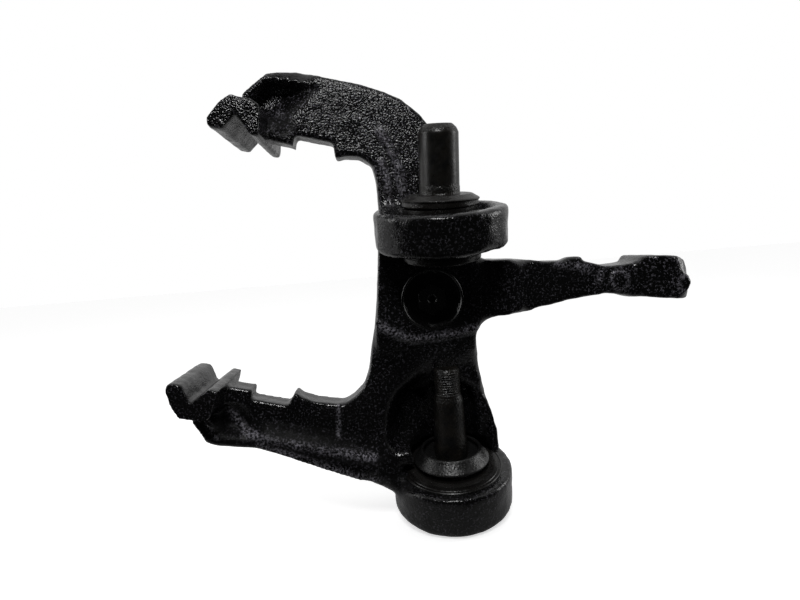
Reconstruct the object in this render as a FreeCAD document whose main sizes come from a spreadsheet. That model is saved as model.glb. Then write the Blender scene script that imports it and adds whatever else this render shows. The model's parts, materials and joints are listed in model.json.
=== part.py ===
import FreeCAD, Part
import Sketcher
import math
import os

# A forged light-truck steering knuckle with its two ball joints, in millimetres.
# Origin: on the spindle axis, at the shoulder where the inner wheel bearing stops.
# +Y points outboard along the spindle, +Z up, +X towards the tie-rod end of the steering arm.
# The kingpin axis runs through both ball joints and leans inboard (towards -Y) at its top.
# Heights called "along the kingpin" count from the machined top of the upper eye.
# The caliper bracket is drawn in a frame clocked about the spindle axis, in which the two
# arms mirror each other: "reach" is the distance out from the axis, "rise" the distance
# up or down from the bracket's plane of symmetry.

SIZES = {
    # the wheel spindle, from its root outwards
    "flange_radius": 25.5, "flange_thickness": 7.0, "seal_radius": 23.8, "seal_length": 10.0,
    "inner_bearing_radius": 17.49, "inner_bearing_length": 22.0, "waist_radius": 16.6,
    "waist_length": 44.0, "outer_bearing_radius": 9.525, "outer_bearing_length": 18.0,
    "neck_radius": 10.6, "thread_radius": 9.5, "thread_length": 26.0, "tip_chamfer": 1.6,
    "cotter_radius": 2.0, "cotter_setback": 8.0, "keyway_width": 5.0, "keyway_depth": 2.4,
    "centre_drill_radius": 1.9, "centre_drill_depth": 4.0,
    # the kingpin axis and the two eyes
    "kingpin_lean": 11.64, "kingpin_x": 5.6, "kingpin_y": -60.0, "kingpin_z": 46.75,
    "upper_eye_lean": 10.0,
    "upper_eye_radius": 33.7, "upper_eye_foot": 33.0, "upper_eye_height": 20.2,
    "lower_eye_drop": 146.7, "lower_eye_radius": 33.8, "lower_eye_foot": 33.8,
    "lower_eye_height": 25.0, "lower_eye_rounding": 4.0, "eye_edge": 1.2,
    "joint_bore_radius": 23.0, "upper_counterbore_radius": 26.3, "upper_counterbore_depth": 1.8,
    # the hub block between the eyes
    "hub_front": -46.0, "hub_rear": -15.0, "plate_front": -40.0, "plate_rear": -24.0,
    "hub_left": -30.0,
    "hub_right": 25.0, "hub_top": 32.0, "hub_bottom": -17.0, "brow_foot": -44.0,
    "leg_front": -36.0, "leg_rear": 5.0, "leg_right": 32.2, "leg_left": -37.2,
    "boss_radius": 15.3, "boss_recess": 2.2, "hexagon_radius": 8.6, "hexagon_height": 1.4,
    "cavity_radius": 23.0, "cavity_height": 42.0, "cavity_crown": 16.0,
    "relief_radius": 21.2, "relief_drop": 29.0,
    # the caliper bracket
    "clocking": 15.0, "slide_front": -60.0, "upper_slide_length": 66.0, "lower_slide_length": 54.0,
    "leg_reach": 99.9, "tooth_width": 4.6, "groove_near": 7.8, "groove_far": 5.4, "nose_width": 7.8,
    "land_rise": 63.7, "groove_depth": 9.1, "nose_blunt": 2.8, "nose_height": 17.3,
    "shoulder_width": 16.1, "shoulder_rise": 87.0, "corner_width": 6.1, "corner_rise": 99.0,
    "arm_rise": 102.0,
    "ledge_rise": 66.2, "pad_seat_rise": 71.2, "pad_seat_setback": 13.6, "pad_seat_length": 20.3,
    "hump_rise": 63.4, "saddle_rise": 66.8, "throat_reach": 40.0, "throat_rise": 56.0,
    "crest_reach": 45.0, "pocket_depth": 11.0, "pocket_overrun": 2.1, "pocket_length": 26.0,
    "pocket_low": 76.5, "pocket_high": 97.5, "lower_pocket_high": 90.0,
    "flange_rise": 88.0, "flange_step": 5.0,
    # the steering arm
    "arm_root_end": 49.0, "arm_root_front": -44.0, "arm_front": -41.0, "arm_rear": -17.0,
    "arm_top": 17.3, "arm_bottom": -12.0, "waist_x": 96.0, "waist_top": 9.6, "waist_bottom": -5.2,
    "eye_x": 126.6, "eye_y": -29.0, "arm_eye_radius": 18.5, "arm_eye_top": 14.0,
    "arm_eye_bottom": -11.5, "taper_small": 7.0, "taper_large": 8.6, "spot_height": 1.2,
    "waist_spot_radius": 4.4, "tip_spot_radius": 5.4, "stop_pad_x": 75.0, "stop_pad_length": 9.0,
    "stop_pad_top": 16.2,
    # the upper ball joint
    "upper_ball_height": -9.5, "upper_seat_height": 6.3, "upper_mouth_radius": 14.0,
    "upper_throat_radius": 11.8,
    "upper_ball_radius": 11.5, "upper_stud_setback": 0.9,
    "upper_stud_lean": 1.5, "upper_stud_radius": 9.85, "upper_stud_length": 49.3,
    "upper_stud_chamfer": 4.2, "upper_foot": -26.4, "upper_foot_radius": 19.7,
    "upper_neck_radius": 18.5, "upper_neck_top": 0.6, "upper_plate_radius": 19.6,
    "upper_plate_top_radius": 16.3, "upper_plate_bore": 10.25,
    "upper_plate_rise": 11.6, "upper_plate_height": 4.6,
    # the lower ball joint
    "lower_ball_depth": 7.0, "lower_ball_radius": 12.5, "lower_seat_height": 5.3,
    "lower_stud_setback": 3.5, "lower_stud_base_radius": 9.3, "lower_base_length": 8.0,
    "lower_taper_top_radius": 8.2, "lower_taper_top": 47.0,
    "lower_thread_radius": 7.145, "lower_thread_start": 50.5, "lower_stud_length": 66.0,
    "lower_neck_radius": 21.1, "lower_mouth_radius": 16.4, "lower_throat_radius": 13.4,
    "lower_flange_radius": 28.4, "lower_flange_top": 0.8,
    "ring_radius": 24.6, "ring_thickness": 1.0, "ring_gap": 9.0,
    "cover_radius": 21.3, "cover_top_radius": 16.6, "cover_rise": 10.6, "cover_height": 7.2,
    "cover_wall": 1.4,
    # what both joints share
    "socket_radius": 16.5, "seat_clearance": 0.1, "seat_gap": 0.8, "cap_thickness": 3.0,
    "spring_height": 1.6,
    "lip": 0.5, "fit_gap": 0.05, "joint_neck_radius": 7.5, "spring_hole": 7.5,
}

doc = FreeCAD.newDocument("steering_knuckle")
sheet = doc.addObject("Spreadsheet::Sheet", "Sizes")
for row, (alias, size) in enumerate(SIZES.items(), start=1):
    sheet.set("A%d" % row, alias)
    sheet.set("B%d" % row, str(size))
    sheet.setAlias("B%d" % row, alias)
doc.recompute()


class Formula:
    """A number together with the sheet expression that gives it."""

    def __init__(self, value, text=None):
        self.value = float(value)
        self.text = text or repr(float(value))

    def _join(self, other, sign, value, swap=False):
        other = other if isinstance(other, Formula) else Formula(other)
        left, right = (other, self) if swap else (self, other)
        return Formula(value(left.value, right.value), "(%s %s %s)" % (left.text, sign, right.text))

    def __add__(self, other):
        return self._join(other, "+", lambda a, b: a + b)

    def __radd__(self, other):
        return self._join(other, "+", lambda a, b: a + b, swap=True)

    def __sub__(self, other):
        return self._join(other, "-", lambda a, b: a - b)

    def __rsub__(self, other):
        return self._join(other, "-", lambda a, b: a - b, swap=True)

    def __mul__(self, other):
        return self._join(other, "*", lambda a, b: a * b)

    def __rmul__(self, other):
        return self._join(other, "*", lambda a, b: a * b, swap=True)

    def __truediv__(self, other):
        return self._join(other, "/", lambda a, b: a / b)

    def __neg__(self):
        return Formula(-self.value, "(0 - %s)" % self.text)


class Sheet:
    """Gives each named size as a formula that reads its own cell."""

    def __getattr__(self, alias):
        return Formula(sheet.get(alias), "Sizes." + alias)


size = Sheet()


def sine(angle):
    return Formula(math.sin(math.radians(angle.value)), "sin(%s)" % angle.text)


def cosine(angle):
    return Formula(math.cos(math.radians(angle.value)), "cos(%s)" % angle.text)


def formula(value):
    return value if isinstance(value, Formula) else Formula(value)


def bind(item, name, value):
    """Ties one property or constraint of an object to the sheet."""
    value = formula(value)
    if "Sizes." in value.text:
        item.setExpression(name, value.text)
    return value.value


def new_body(label):
    body = doc.addObject("PartDesign::Body", label)
    body.Label = label
    return body


def origin_plane(body, role):
    return [item for item in body.Origin.OriginFeatures if item.Role == role][0]


def outline(body, role, name, corners, turn=0.0, lift=0.0):
    """A closed polygon on one of the body's own planes, each corner held to the sheet."""
    sketch = body.newObject("Sketcher::SketchObject", name)
    sketch.AttachmentSupport = (origin_plane(body, role), [""])
    sketch.MapMode = "FlatFace"
    turn, lift = formula(turn), formula(lift)
    sketch.AttachmentOffset = FreeCAD.Placement(
        FreeCAD.Vector(0, 0, lift.value), FreeCAD.Rotation(FreeCAD.Vector(0, 0, 1), turn.value))
    bind(sketch, "AttachmentOffset.Rotation.Angle", turn)
    bind(sketch, "AttachmentOffset.Base.z", lift)
    points = [(formula(x), formula(y)) for x, y in corners]
    places = [FreeCAD.Vector(x.value, y.value, 0) for x, y in points]
    lines = [Part.LineSegment(a, b) for a, b in zip(places, places[1:] + places[:1])]
    sketch.addGeometry(lines, False)
    count = len(lines)
    for line in range(count):
        sketch.addConstraint(Sketcher.Constraint("Coincident", line, 2, (line + 1) % count, 1))
    for line, (x, y) in enumerate(points):
        for kind, axis, value in (("DistanceX", -2, x), ("DistanceY", -1, y)):
            if abs(value.value) < 1e-9:
                sketch.addConstraint(Sketcher.Constraint("PointOnObject", line, 1, axis))
            else:
                index = sketch.addConstraint(Sketcher.Constraint(kind, -1, 1, line, 1, value.value))
                bind(sketch, "Constraints[%d]" % index, value)
    return sketch


def pad(body, sketch, length, forward=True):
    """Pads a sketch; on the XZ plane forward means towards +Y."""
    feature = body.newObject("PartDesign::Pad", sketch.Name + "_pad")
    feature.Profile = (sketch, [""])
    feature.Length = formula(length).value
    bind(feature, "Length", length)
    feature.Reversed = forward
    return feature


def pocket(body, sketch, length, forward=True):
    feature = body.newObject("PartDesign::Pocket", sketch.Name + "_pocket")
    feature.Profile = (sketch, [""])
    feature.Length = formula(length).value
    bind(feature, "Length", length)
    feature.Reversed = not forward
    return feature


def revolve(body, sketch, axis="V_Axis"):
    feature = body.newObject("PartDesign::Revolution", sketch.Name + "_turned")
    feature.Profile = (sketch, [""])
    feature.ReferenceAxis = (sketch, [axis])
    feature.Angle = 360.0
    return feature


def turned(label, profile):
    """A solid of revolution about the body's own Z axis."""
    body = new_body(label)
    revolve(body, outline(body, "XZ_Plane", label + "_profile", profile))
    return body


def fuse(label, *items):
    union = doc.addObject("Part::MultiFuse", label)
    union.Shapes = list(items)
    union.Refine = True
    return union


def cut(label, base, tool):
    difference = doc.addObject("Part::Cut", label)
    difference.Base = base
    difference.Tool = tool
    difference.Refine = True
    return difference


def common(label, *items):
    shared = doc.addObject("Part::MultiCommon", label)
    shared.Shapes = list(items)
    shared.Refine = True
    return shared


def cylinder(label, radius, height):
    item = doc.addObject("Part::Cylinder", label)
    item.Radius, item.Height = formula(radius).value, formula(height).value
    bind(item, "Radius", radius)
    bind(item, "Height", height)
    return item


def cone(label, foot, top, height):
    item = doc.addObject("Part::Cone", label)
    item.Radius1, item.Radius2, item.Height = [formula(value).value for value in (foot, top, height)]
    bind(item, "Radius1", foot)
    bind(item, "Radius2", top)
    bind(item, "Height", height)
    return item


def box(label, length, width, height):
    item = doc.addObject("Part::Box", label)
    item.Length, item.Width, item.Height = [formula(value).value for value in (length, width, height)]
    bind(item, "Length", length)
    bind(item, "Width", width)
    bind(item, "Height", height)
    return item


def on_axis(height, lean=size.kingpin_lean):
    """The point at a height along the kingpin axis, or along the upper eye's own axis."""
    return [size.kingpin_x, size.kingpin_y - sine(lean) * height, size.kingpin_z + cosine(lean) * height]


def place(item, point, pitch=0.0, roll=0.0):
    """Puts an item at a point, rolled about X and then pitched about Y, in degrees."""
    values = [formula(value).text for value in list(point) + [pitch, roll]]
    item.setExpression("Placement", "placement(vector(%s; %s; %s); rotation(0; %s; %s))" % tuple(values))
    return item


def stand(item, height, lean=size.kingpin_lean):
    """Stands an item on one of those axes at a height along it."""
    return place(item, on_axis(height, lean), roll=lean)


# The forging is built of simple chunks, which are joined and then machined.

# The spindle and its round root flange are turned about the wheel axis.
inner_end = size.inner_bearing_length
waist_end = inner_end + size.waist_length
outer_end = waist_end + size.outer_bearing_length
spindle_tip = outer_end + size.thread_length
root = -size.seal_length - size.flange_thickness
spindle = new_body("spindle")
revolve(spindle, outline(spindle, "XY_Plane", "spindle_profile", [
    (0, root - 6), (size.flange_radius + 3, root - 6), (size.flange_radius, -size.seal_length - 1.5),
    (size.flange_radius - 1.5, -size.seal_length), (size.seal_radius, -size.seal_length),
    (size.seal_radius, -0.8), (size.seal_radius - 0.8, 0), (size.inner_bearing_radius, 0),
    (size.inner_bearing_radius, inner_end - 0.8), (size.waist_radius, inner_end),
    (size.neck_radius, waist_end - 1), (size.neck_radius, waist_end),
    (size.outer_bearing_radius, waist_end), (size.outer_bearing_radius, outer_end),
    (size.thread_radius - 0.9, outer_end), (size.thread_radius - 0.9, outer_end + 2),
    (size.thread_radius, outer_end + 2.9), (size.thread_radius, spindle_tip - size.tip_chamfer),
    (size.thread_radius - size.tip_chamfer, spindle_tip), (0, spindle_tip)]))

# The reaches across an anchor, outwards from the face beside the arm, and its rises.
tooth_reach = size.leg_reach + size.tooth_width
groove_reach = tooth_reach + size.groove_near
lip_reach = groove_reach + size.groove_far
nose_reach = lip_reach + size.nose_width
nose_rise = size.land_rise + size.nose_blunt
nose_crown = size.land_rise + size.nose_height
shoulder_reach = size.leg_reach + size.shoulder_width
corner_reach = size.leg_reach + size.corner_width
pad_seat_far = size.leg_reach - size.pad_seat_setback
pad_seat_near = pad_seat_far - size.pad_seat_length
pocket_far = size.leg_reach + size.pocket_overrun
pocket_near = pocket_far - size.pocket_length


def inner_reach(share):
    """A reach between the brake-pad seat (share 0) and the throat of the mouth (share 1)."""
    return pad_seat_near + (size.throat_reach - pad_seat_near) * share


# The C-shaped plate carries both bracket arms and the web behind the upper eye.
# Its outline runs over the upper arm, down the web, back under the lower arm and round the mouth.
plate_depth = size.plate_rear - size.plate_front
back = [(-shoulder_reach, nose_crown - 3), (-shoulder_reach, size.shoulder_rise),
        (-corner_reach, size.corner_rise), (-corner_reach + 9, size.arm_rise)]
crest = [(-corner_reach + 26, size.arm_rise + 1.4), (-58, size.arm_rise + 1.4),
         (-size.crest_reach, size.arm_rise + 0.3), (-size.crest_reach + 10, size.arm_rise - 2),
         (-size.crest_reach + 21, size.arm_rise - 7.5), (-size.crest_reach + 31, size.arm_rise - 16),
         (-size.crest_reach + 39, size.arm_rise - 28), (-size.crest_reach + 44, size.arm_rise - 42),
         (-size.crest_reach + 52, size.arm_rise - 58), (-size.crest_reach + 61, size.arm_rise - 76)]
spine = [(24, -9), (22, -60), (12, -100)]
sole = [(-2.5, -size.arm_rise - 9.8), (-11.6, -size.arm_rise - 4.7), (-31.7, -size.arm_rise - 1.6),
        (-corner_reach + 52, -size.arm_rise + 2), (-corner_reach + 41, -size.arm_rise + 3.7),
        (-corner_reach + 25, -size.arm_rise + 4.4), (-corner_reach + 8, -size.arm_rise + 2)]
mouth = [(-size.leg_reach - 3, nose_crown - 3), (-size.leg_reach, size.ledge_rise + 1),
         (-size.leg_reach + 3, size.ledge_rise), (-pad_seat_far - 1, size.ledge_rise),
         (-pad_seat_far, size.ledge_rise - 1), (-pad_seat_far, size.pad_seat_rise),
         (-pad_seat_near, size.pad_seat_rise), (-inner_reach(0.1), size.hump_rise),
         (-inner_reach(0.254), size.hump_rise + 2.2), (-inner_reach(0.554), size.saddle_rise)]
throat = [(-inner_reach(0.923), -size.saddle_rise + 0.7), (-36.4, -65.5), (-31.4, -61.2), (-27, -54.4),
          (-25.7, -44.2), (-26.4, -33), (-27.1, -20.7), (-29, -2.6), (-32.2, 17.8), (-35.7, 39.1),
          (-size.throat_reach, size.throat_rise), (-inner_reach(0.846), size.saddle_rise - 2.7)]


def lower(corners):
    """The same corners on the lower arm."""
    return [(x, -y) for x, y in corners]


bracket = new_body("bracket")
bracket_sketch = outline(
    bracket, "XZ_Plane", "bracket_outline",
    back + crest + spine + sole + lower(back[:-1])[::-1] + lower(mouth) + throat + mouth[::-1],
    turn=-size.clocking, lift=-size.plate_front)
pad(bracket, bracket_sketch, plate_depth)

# Each arm ends in a long anchor block with a V groove, on which the brake caliper slides.
anchor = [(-nose_reach, nose_rise + 1.8), (-nose_reach, nose_rise - 1.2),
          (-nose_reach + 2, size.land_rise), (-lip_reach, size.land_rise),
          (-groove_reach, size.land_rise + size.groove_depth), (-tooth_reach, size.land_rise),
          (-size.leg_reach, size.land_rise), (-size.leg_reach, size.land_rise + 3),
          (-size.leg_reach - 1.5, nose_crown - 2), (-size.leg_reach - 7, nose_crown),
          (-nose_reach + 9, nose_crown), (-nose_reach + 4, nose_crown - 5)]
# The inboard side of each arm is hollowed beside the anchor, and the lower arm has a raised rim.
rim = [(-shoulder_reach + 2, -size.shoulder_rise), (-shoulder_reach + 3, -size.shoulder_rise + 3.5),
       (-shoulder_reach + 7, -size.shoulder_rise + 3.5), (-shoulder_reach + 12, -size.flange_rise - 1),
       (-shoulder_reach + 20, -size.flange_rise - 4), (-shoulder_reach + 33, -size.flange_rise + 1),
       (-size.crest_reach, -size.flange_rise), (-14, -size.flange_rise - 3),
       (-5, -size.arm_rise - 6.5), (-11.6, -size.arm_rise - 3.1), (-31.7, -size.arm_rise - 0.1),
       (-shoulder_reach + 62, -size.arm_rise + 3.3), (-shoulder_reach + 51, -size.arm_rise + 5),
       (-shoulder_reach + 35, -size.arm_rise + 5.8), (-shoulder_reach + 13, -size.arm_rise + 3.7)]


def hollow(high):
    return [(-pocket_far, size.pocket_low), (-pocket_far, high - 5), (-pocket_far + 4, high),
            (-pocket_near, high), (-pocket_near - 14, size.pocket_low)]


anchors = []
hollows = []
for name, side, length, high in (("upper", list, size.upper_slide_length, size.pocket_high),
                                 ("lower", lower, size.lower_slide_length, size.lower_pocket_high)):
    block = new_body(name + "_anchor")
    pad(block, outline(block, "XZ_Plane", name + "_anchor_outline", side(anchor),
                       turn=-size.clocking, lift=-size.slide_front), length)
    anchors.append(block)
    scoop = new_body(name + "_hollow")
    pad(scoop, outline(scoop, "XZ_Plane", name + "_hollow_outline", side(hollow(high)),
                       turn=-size.clocking, lift=-size.plate_front + 10), size.pocket_depth + 10)
    hollows.append(scoop)
lower_rim = new_body("lower_rim")
pad(lower_rim, outline(lower_rim, "XZ_Plane", "lower_rim_outline", rim, turn=-size.clocking,
                       lift=-size.plate_front + size.flange_step), size.flange_step + 2)

# The hub block stands between the eyes, and a leg below it carries the lower eye.
hub = new_body("hub")
pad(hub, outline(hub, "XZ_Plane", "hub_outline", [
    (size.hub_left + 4, size.hub_top), (size.hub_left + 1.3, 5), (size.hub_left - 1.5, size.hub_bottom),
    (size.hub_right - 2, size.hub_bottom - 2), (size.hub_right, size.hub_bottom + 2),
    (size.hub_right, size.hub_top)], lift=-size.hub_front), size.hub_rear - size.hub_front)
leg_foot = size.kingpin_z - size.lower_eye_drop


def leg_height(share):
    """A height on the leg, between the hub's bottom (share 0) and the lower eye (share 1)."""
    return size.hub_bottom + (leg_foot - size.hub_bottom) * share


leg = new_body("leg")
pad(leg, outline(leg, "XZ_Plane", "leg_outline", [
    (-31, size.hub_bottom + 5), (-34.2, leg_height(0.096)), (-36.3, leg_height(0.229)),
    (size.leg_left, leg_height(0.398)), (size.leg_left, leg_height(0.639)), (-32, leg_foot + 2),
    (-20, leg_foot - 8), (size.kingpin_x, leg_foot - 12), (28, leg_foot - 8),
    (size.leg_right + 0.6, leg_foot + 6), (size.leg_right, leg_height(0.735)),
    (size.leg_right - 4.5, leg_height(0.47)), (size.leg_right - 7.5, leg_height(0.277)),
    (size.hub_right - 1.5, leg_height(0.121)), (size.hub_right - 0.5, size.hub_bottom + 5)],
    lift=-size.leg_front), size.leg_rear - size.leg_front)
back_cut = outline(leg, "YZ_Plane", "leg_back_outline", [
    (size.hub_rear, size.hub_bottom + 12), (size.leg_rear + 1, size.hub_bottom + 12),
    (size.leg_rear + 1, -46), (size.leg_rear, -46), (size.hub_rear, -27)], lift=-60)
pocket(leg, back_cut, 120, forward=False)
brow = new_body("brow")
pad(brow, outline(brow, "YZ_Plane", "brow_outline", [
    (size.hub_front, size.hub_bottom), (size.hub_front + 1, size.hub_bottom - 3),
    (size.leg_front, size.brow_foot), (size.leg_front + 16, size.brow_foot),
    (size.leg_front + 16, size.hub_bottom)], lift=size.hub_left - 1.5),
    size.hub_right - size.hub_left - 1, forward=False)

# The two eyes are drawn about the kingpin axis.
upper_eye = turned("upper_eye", [
    (0, 0), (size.upper_eye_radius - size.eye_edge, 0), (size.upper_eye_radius, -size.eye_edge),
    (size.upper_eye_foot, -size.upper_eye_height + 2), (size.upper_eye_foot - 2, -size.upper_eye_height),
    (0, -size.upper_eye_height)])
stand(upper_eye, 0, size.upper_eye_lean)
lower_eye = turned("lower_eye", [
    (0, 0), (size.lower_eye_radius - size.eye_edge, 0), (size.lower_eye_radius, -size.eye_edge),
    (size.lower_eye_foot, -size.lower_eye_height + size.lower_eye_rounding),
    (size.lower_eye_foot - 1.6, -size.lower_eye_height + 1.7),
    (size.lower_eye_foot - size.lower_eye_rounding, -size.lower_eye_height),
    (0, -size.lower_eye_height)])
stand(lower_eye, -size.lower_eye_drop)

# The steering arm reaches out in +X to an upright eye for the tie-rod end.
arm_root = new_body("arm_root")
pad(arm_root, outline(arm_root, "XZ_Plane", "arm_root_outline", [
    (18, size.arm_top + 4.7), (size.hub_right, size.arm_top + 3.2), (33, size.arm_top + 1),
    (size.arm_root_end, size.arm_top), (size.arm_root_end, size.arm_bottom - 0.2),
    (34, size.arm_bottom), (28.3, size.arm_bottom - 2.2), (size.hub_right, size.arm_bottom - 5),
    (18, size.arm_bottom - 7)], lift=-size.arm_root_front), size.hub_rear - size.arm_root_front)
arm_beam = new_body("arm_beam")
pad(arm_beam, outline(arm_beam, "XZ_Plane", "arm_beam_outline", [
    (size.arm_root_end - 4, size.arm_top), (size.arm_root_end + 1, size.arm_top),
    (63, size.arm_top - 2.5), (73, size.arm_top - 3), (88, size.arm_top - 4.8),
    (size.waist_x, size.waist_top), (size.waist_x + 6, size.waist_top),
    (size.eye_x - 14, size.waist_top + 0.4),
    (size.eye_x - 14, size.arm_eye_bottom + 3.2), (size.waist_x, size.waist_bottom),
    (87, size.waist_bottom - 0.9), (76, size.arm_bottom + 5), (64.6, size.arm_bottom + 3),
    (56.2, size.arm_bottom + 2), (53, size.arm_bottom), (size.arm_root_end - 4, size.arm_bottom)],
    lift=-size.arm_front), size.arm_rear - size.arm_front)
eye_profile = new_body("arm_eye_profile")
pad(eye_profile, outline(eye_profile, "XZ_Plane", "arm_eye_outline", [
    (size.eye_x - size.arm_eye_radius - 1, size.arm_eye_top - 6.5),
    (size.eye_x - 14, size.arm_eye_top - 4.5), (size.eye_x - 9.5, size.arm_eye_top),
    (size.eye_x + 6.4, size.arm_eye_top - 1.5), (size.eye_x + 12, size.arm_eye_top - 4),
    (size.eye_x + 15.8, size.arm_eye_top - 9),
    (size.eye_x + size.arm_eye_radius + 1, -4), (size.eye_x + 17.4, size.arm_eye_bottom + 3),
    (size.eye_x + 13.3, size.arm_eye_bottom - 0.4), (size.eye_x - 11, size.arm_eye_bottom + 2.8),
    (size.eye_x - size.arm_eye_radius - 1, size.arm_eye_bottom + 3)],
    lift=-size.eye_y + size.arm_eye_radius + 1), size.arm_eye_radius * 2 + 2)
eye_round = place(cylinder("arm_eye_round", size.arm_eye_radius, 60), (size.eye_x, size.eye_y, -30))
arm_eye = common("arm_eye", eye_profile, eye_round)
stop_pad = place(box("stop_pad", size.stop_pad_length, 9, 5),
                 (size.stop_pad_x, size.arm_front + 1, size.stop_pad_top - 5))
waist_spot = place(cylinder("waist_spot", size.waist_spot_radius, 8),
                   (size.waist_x + 7, size.arm_front - size.spot_height + 8, 1.5), roll=90)
tip_spot = place(cylinder("tip_spot", size.tip_spot_radius, 14),
                 (size.eye_x + 8.9, size.eye_y - size.arm_eye_radius + 15, -2.5), roll=90)

solid = fuse("forging_solid", bracket, *anchors, lower_rim, hub, leg, brow, upper_eye, lower_eye,
             spindle, arm_root, arm_beam, arm_eye, stop_pad, waist_spot, tip_spot)

# What is cut out of it: both joint bores with their faces, the room round the lower stud,
# the hollows of the arms, the tie-rod taper, and the spindle's cotter hole and keyway.
upper_bore = stand(cylinder("upper_bore", size.joint_bore_radius, 40), -size.upper_eye_height - 2,
                   size.upper_eye_lean)
upper_counterbore = stand(cylinder("upper_counterbore", size.upper_counterbore_radius, 3),
                          -size.upper_counterbore_depth, size.upper_eye_lean)
foot_relief = stand(cylinder("foot_relief", size.relief_radius, size.relief_drop - 19),
                    -size.relief_drop, size.upper_eye_lean)
lower_bore = stand(cylinder("lower_bore", size.joint_bore_radius, 60),
                   -size.lower_eye_drop - size.lower_eye_height - 5)
spot_face = stand(cylinder("spot_face", size.lower_flange_radius + 0.9, 7), -size.lower_eye_drop)
cavity = stand(cylinder("cavity", size.cavity_radius, size.cavity_height), -size.lower_eye_drop)
crown = stand(cone("crown", size.cavity_radius, size.cavity_crown, 20),
              -size.lower_eye_drop + size.cavity_height)
taper = place(cone("tie_rod_taper", size.taper_large, size.taper_small, 40), (size.eye_x, size.eye_y, -20))
boss_recess = place(cylinder("boss_recess", size.boss_radius, size.boss_recess),
                    (0, size.hub_front + size.boss_recess, 0), roll=90)
centre_drill = place(cone("centre_drill", size.centre_drill_radius, 0.3, size.centre_drill_depth + 1),
                     (0, size.hub_front + size.boss_recess - size.hexagon_height - 0.5, 0), roll=-90)
cotter_hole = place(cylinder("cotter_hole", size.cotter_radius, 40),
                    (-20, spindle_tip - size.cotter_setback, 0), pitch=90)
keyway = place(box("keyway", size.keyway_width, size.thread_length + 10, 10),
               (-size.keyway_width / 2, outer_end + 4, size.thread_radius - size.keyway_depth))
machined = cut("forging_machined", solid, fuse(
    "forging_tools", upper_bore, upper_counterbore, foot_relief, lower_bore, spot_face, cavity, crown,
    taper, boss_recess, cotter_hole, keyway, *hollows))
hexagon = new_body("hexagon")
hexagon_corners = [(size.hexagon_radius * math.sin(math.radians(60 * number)),
                    size.hexagon_radius * -math.cos(math.radians(60 * number))) for number in range(6)]
pad(hexagon, outline(hexagon, "XZ_Plane", "hexagon_outline", hexagon_corners,
                     lift=-size.hub_front - size.boss_recess + size.hexagon_height),
    size.hexagon_height + 2)
knuckle = cut("knuckle_forging", fuse("forging_with_hexagon", machined, hexagon), centre_drill)


def ball_stud(label, radius, profile):
    """A ball stud: its ball at the body's origin, its shank turned along Z."""
    stud = turned(label, profile)
    ball = stud.newObject("PartDesign::AdditiveSphere", label + "_ball")
    ball.AttachmentSupport = (origin_plane(stud, "XY_Plane"), [""])
    ball.MapMode = "FlatFace"
    ball.Radius = radius.value
    bind(ball, "Radius", radius)
    return stud


def seat(label, foot, top, ball_radius, ball_height, outer):
    """A bearing ring with a spherical inside, in the joint's own frame."""
    ring = turned(label, [(0, foot), (outer, foot), (outer, top), (0, top)])
    hole = ring.newObject("PartDesign::SubtractiveSphere", label + "_ball_seat")
    hole.AttachmentSupport = (origin_plane(ring, "XY_Plane"), [""])
    hole.MapMode = "FlatFace"
    hole.AttachmentOffset = FreeCAD.Placement(FreeCAD.Vector(0, 0, ball_height.value), FreeCAD.Rotation())
    bind(hole, "AttachmentOffset.Base.z", ball_height)
    hole.Radius = (ball_radius + size.seat_clearance).value
    bind(hole, "Radius", ball_radius + size.seat_clearance)
    return ring


def inside_parts(name, foot, ball_height, ball_radius, seat_top, stand_height, lean):
    """The bearing rings, preload spring and end cap of a joint, stacked up from its foot."""
    outer = size.socket_radius - size.fit_gap
    cap_foot = foot + size.lip
    cap_top = cap_foot + size.cap_thickness
    spring_top = cap_top + size.spring_height
    cap = turned(name + "_joint_end_cap", [
        (0, cap_foot + 1), (5, cap_foot + 1), (6, cap_foot), (outer, cap_foot),
        (outer, cap_top), (0, cap_top)])
    spring = turned(name + "_joint_spring", [
        (size.spring_hole, spring_top - 0.8), (size.spring_hole, spring_top),
        (outer - 1, cap_top + 0.8), (outer - 1, cap_top)])
    bottom_seat = seat(name + "_joint_bottom_seat", spring_top, ball_height - size.seat_gap / 2,
                       ball_radius, ball_height, outer)
    top_seat = seat(name + "_joint_top_seat", ball_height + size.seat_gap / 2, seat_top,
                    ball_radius, ball_height, outer)
    for item in (cap, spring, bottom_seat, top_seat):
        stand(item, stand_height, lean)
    return [cap, spring, bottom_seat, top_seat]


# The upper ball joint, pressed down into the upper eye.
bore = size.joint_bore_radius - size.fit_gap
upper_seat_top = size.upper_ball_height + size.upper_seat_height
upper_housing = turned("upper_joint_housing", [
    (size.socket_radius, upper_seat_top + size.fit_gap), (size.socket_radius, size.upper_foot + size.lip),
    (size.socket_radius - 1.6, size.upper_foot), (size.upper_foot_radius - 1.2, size.upper_foot),
    (size.upper_foot_radius, size.upper_foot + 1.2), (size.upper_foot_radius, -size.upper_eye_height),
    (bore, -size.upper_eye_height + 1), (bore, -size.upper_counterbore_depth),
    (size.upper_counterbore_radius - 0.3, -size.upper_counterbore_depth),
    (size.upper_counterbore_radius - 0.3, -0.9), (size.upper_counterbore_radius - 0.8, -0.4),
    (size.upper_neck_radius, -0.4), (size.upper_neck_radius, size.upper_neck_top),
    (size.upper_mouth_radius, size.upper_neck_top),
    (size.upper_throat_radius, upper_seat_top + size.fit_gap)])
stand(upper_housing, 0, size.upper_eye_lean)
upper_inside = inside_parts("upper", size.upper_foot, size.upper_ball_height, size.upper_ball_radius,
                            upper_seat_top, 0, size.upper_eye_lean)
upper_plate_top = size.upper_plate_rise + size.upper_plate_height
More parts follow.
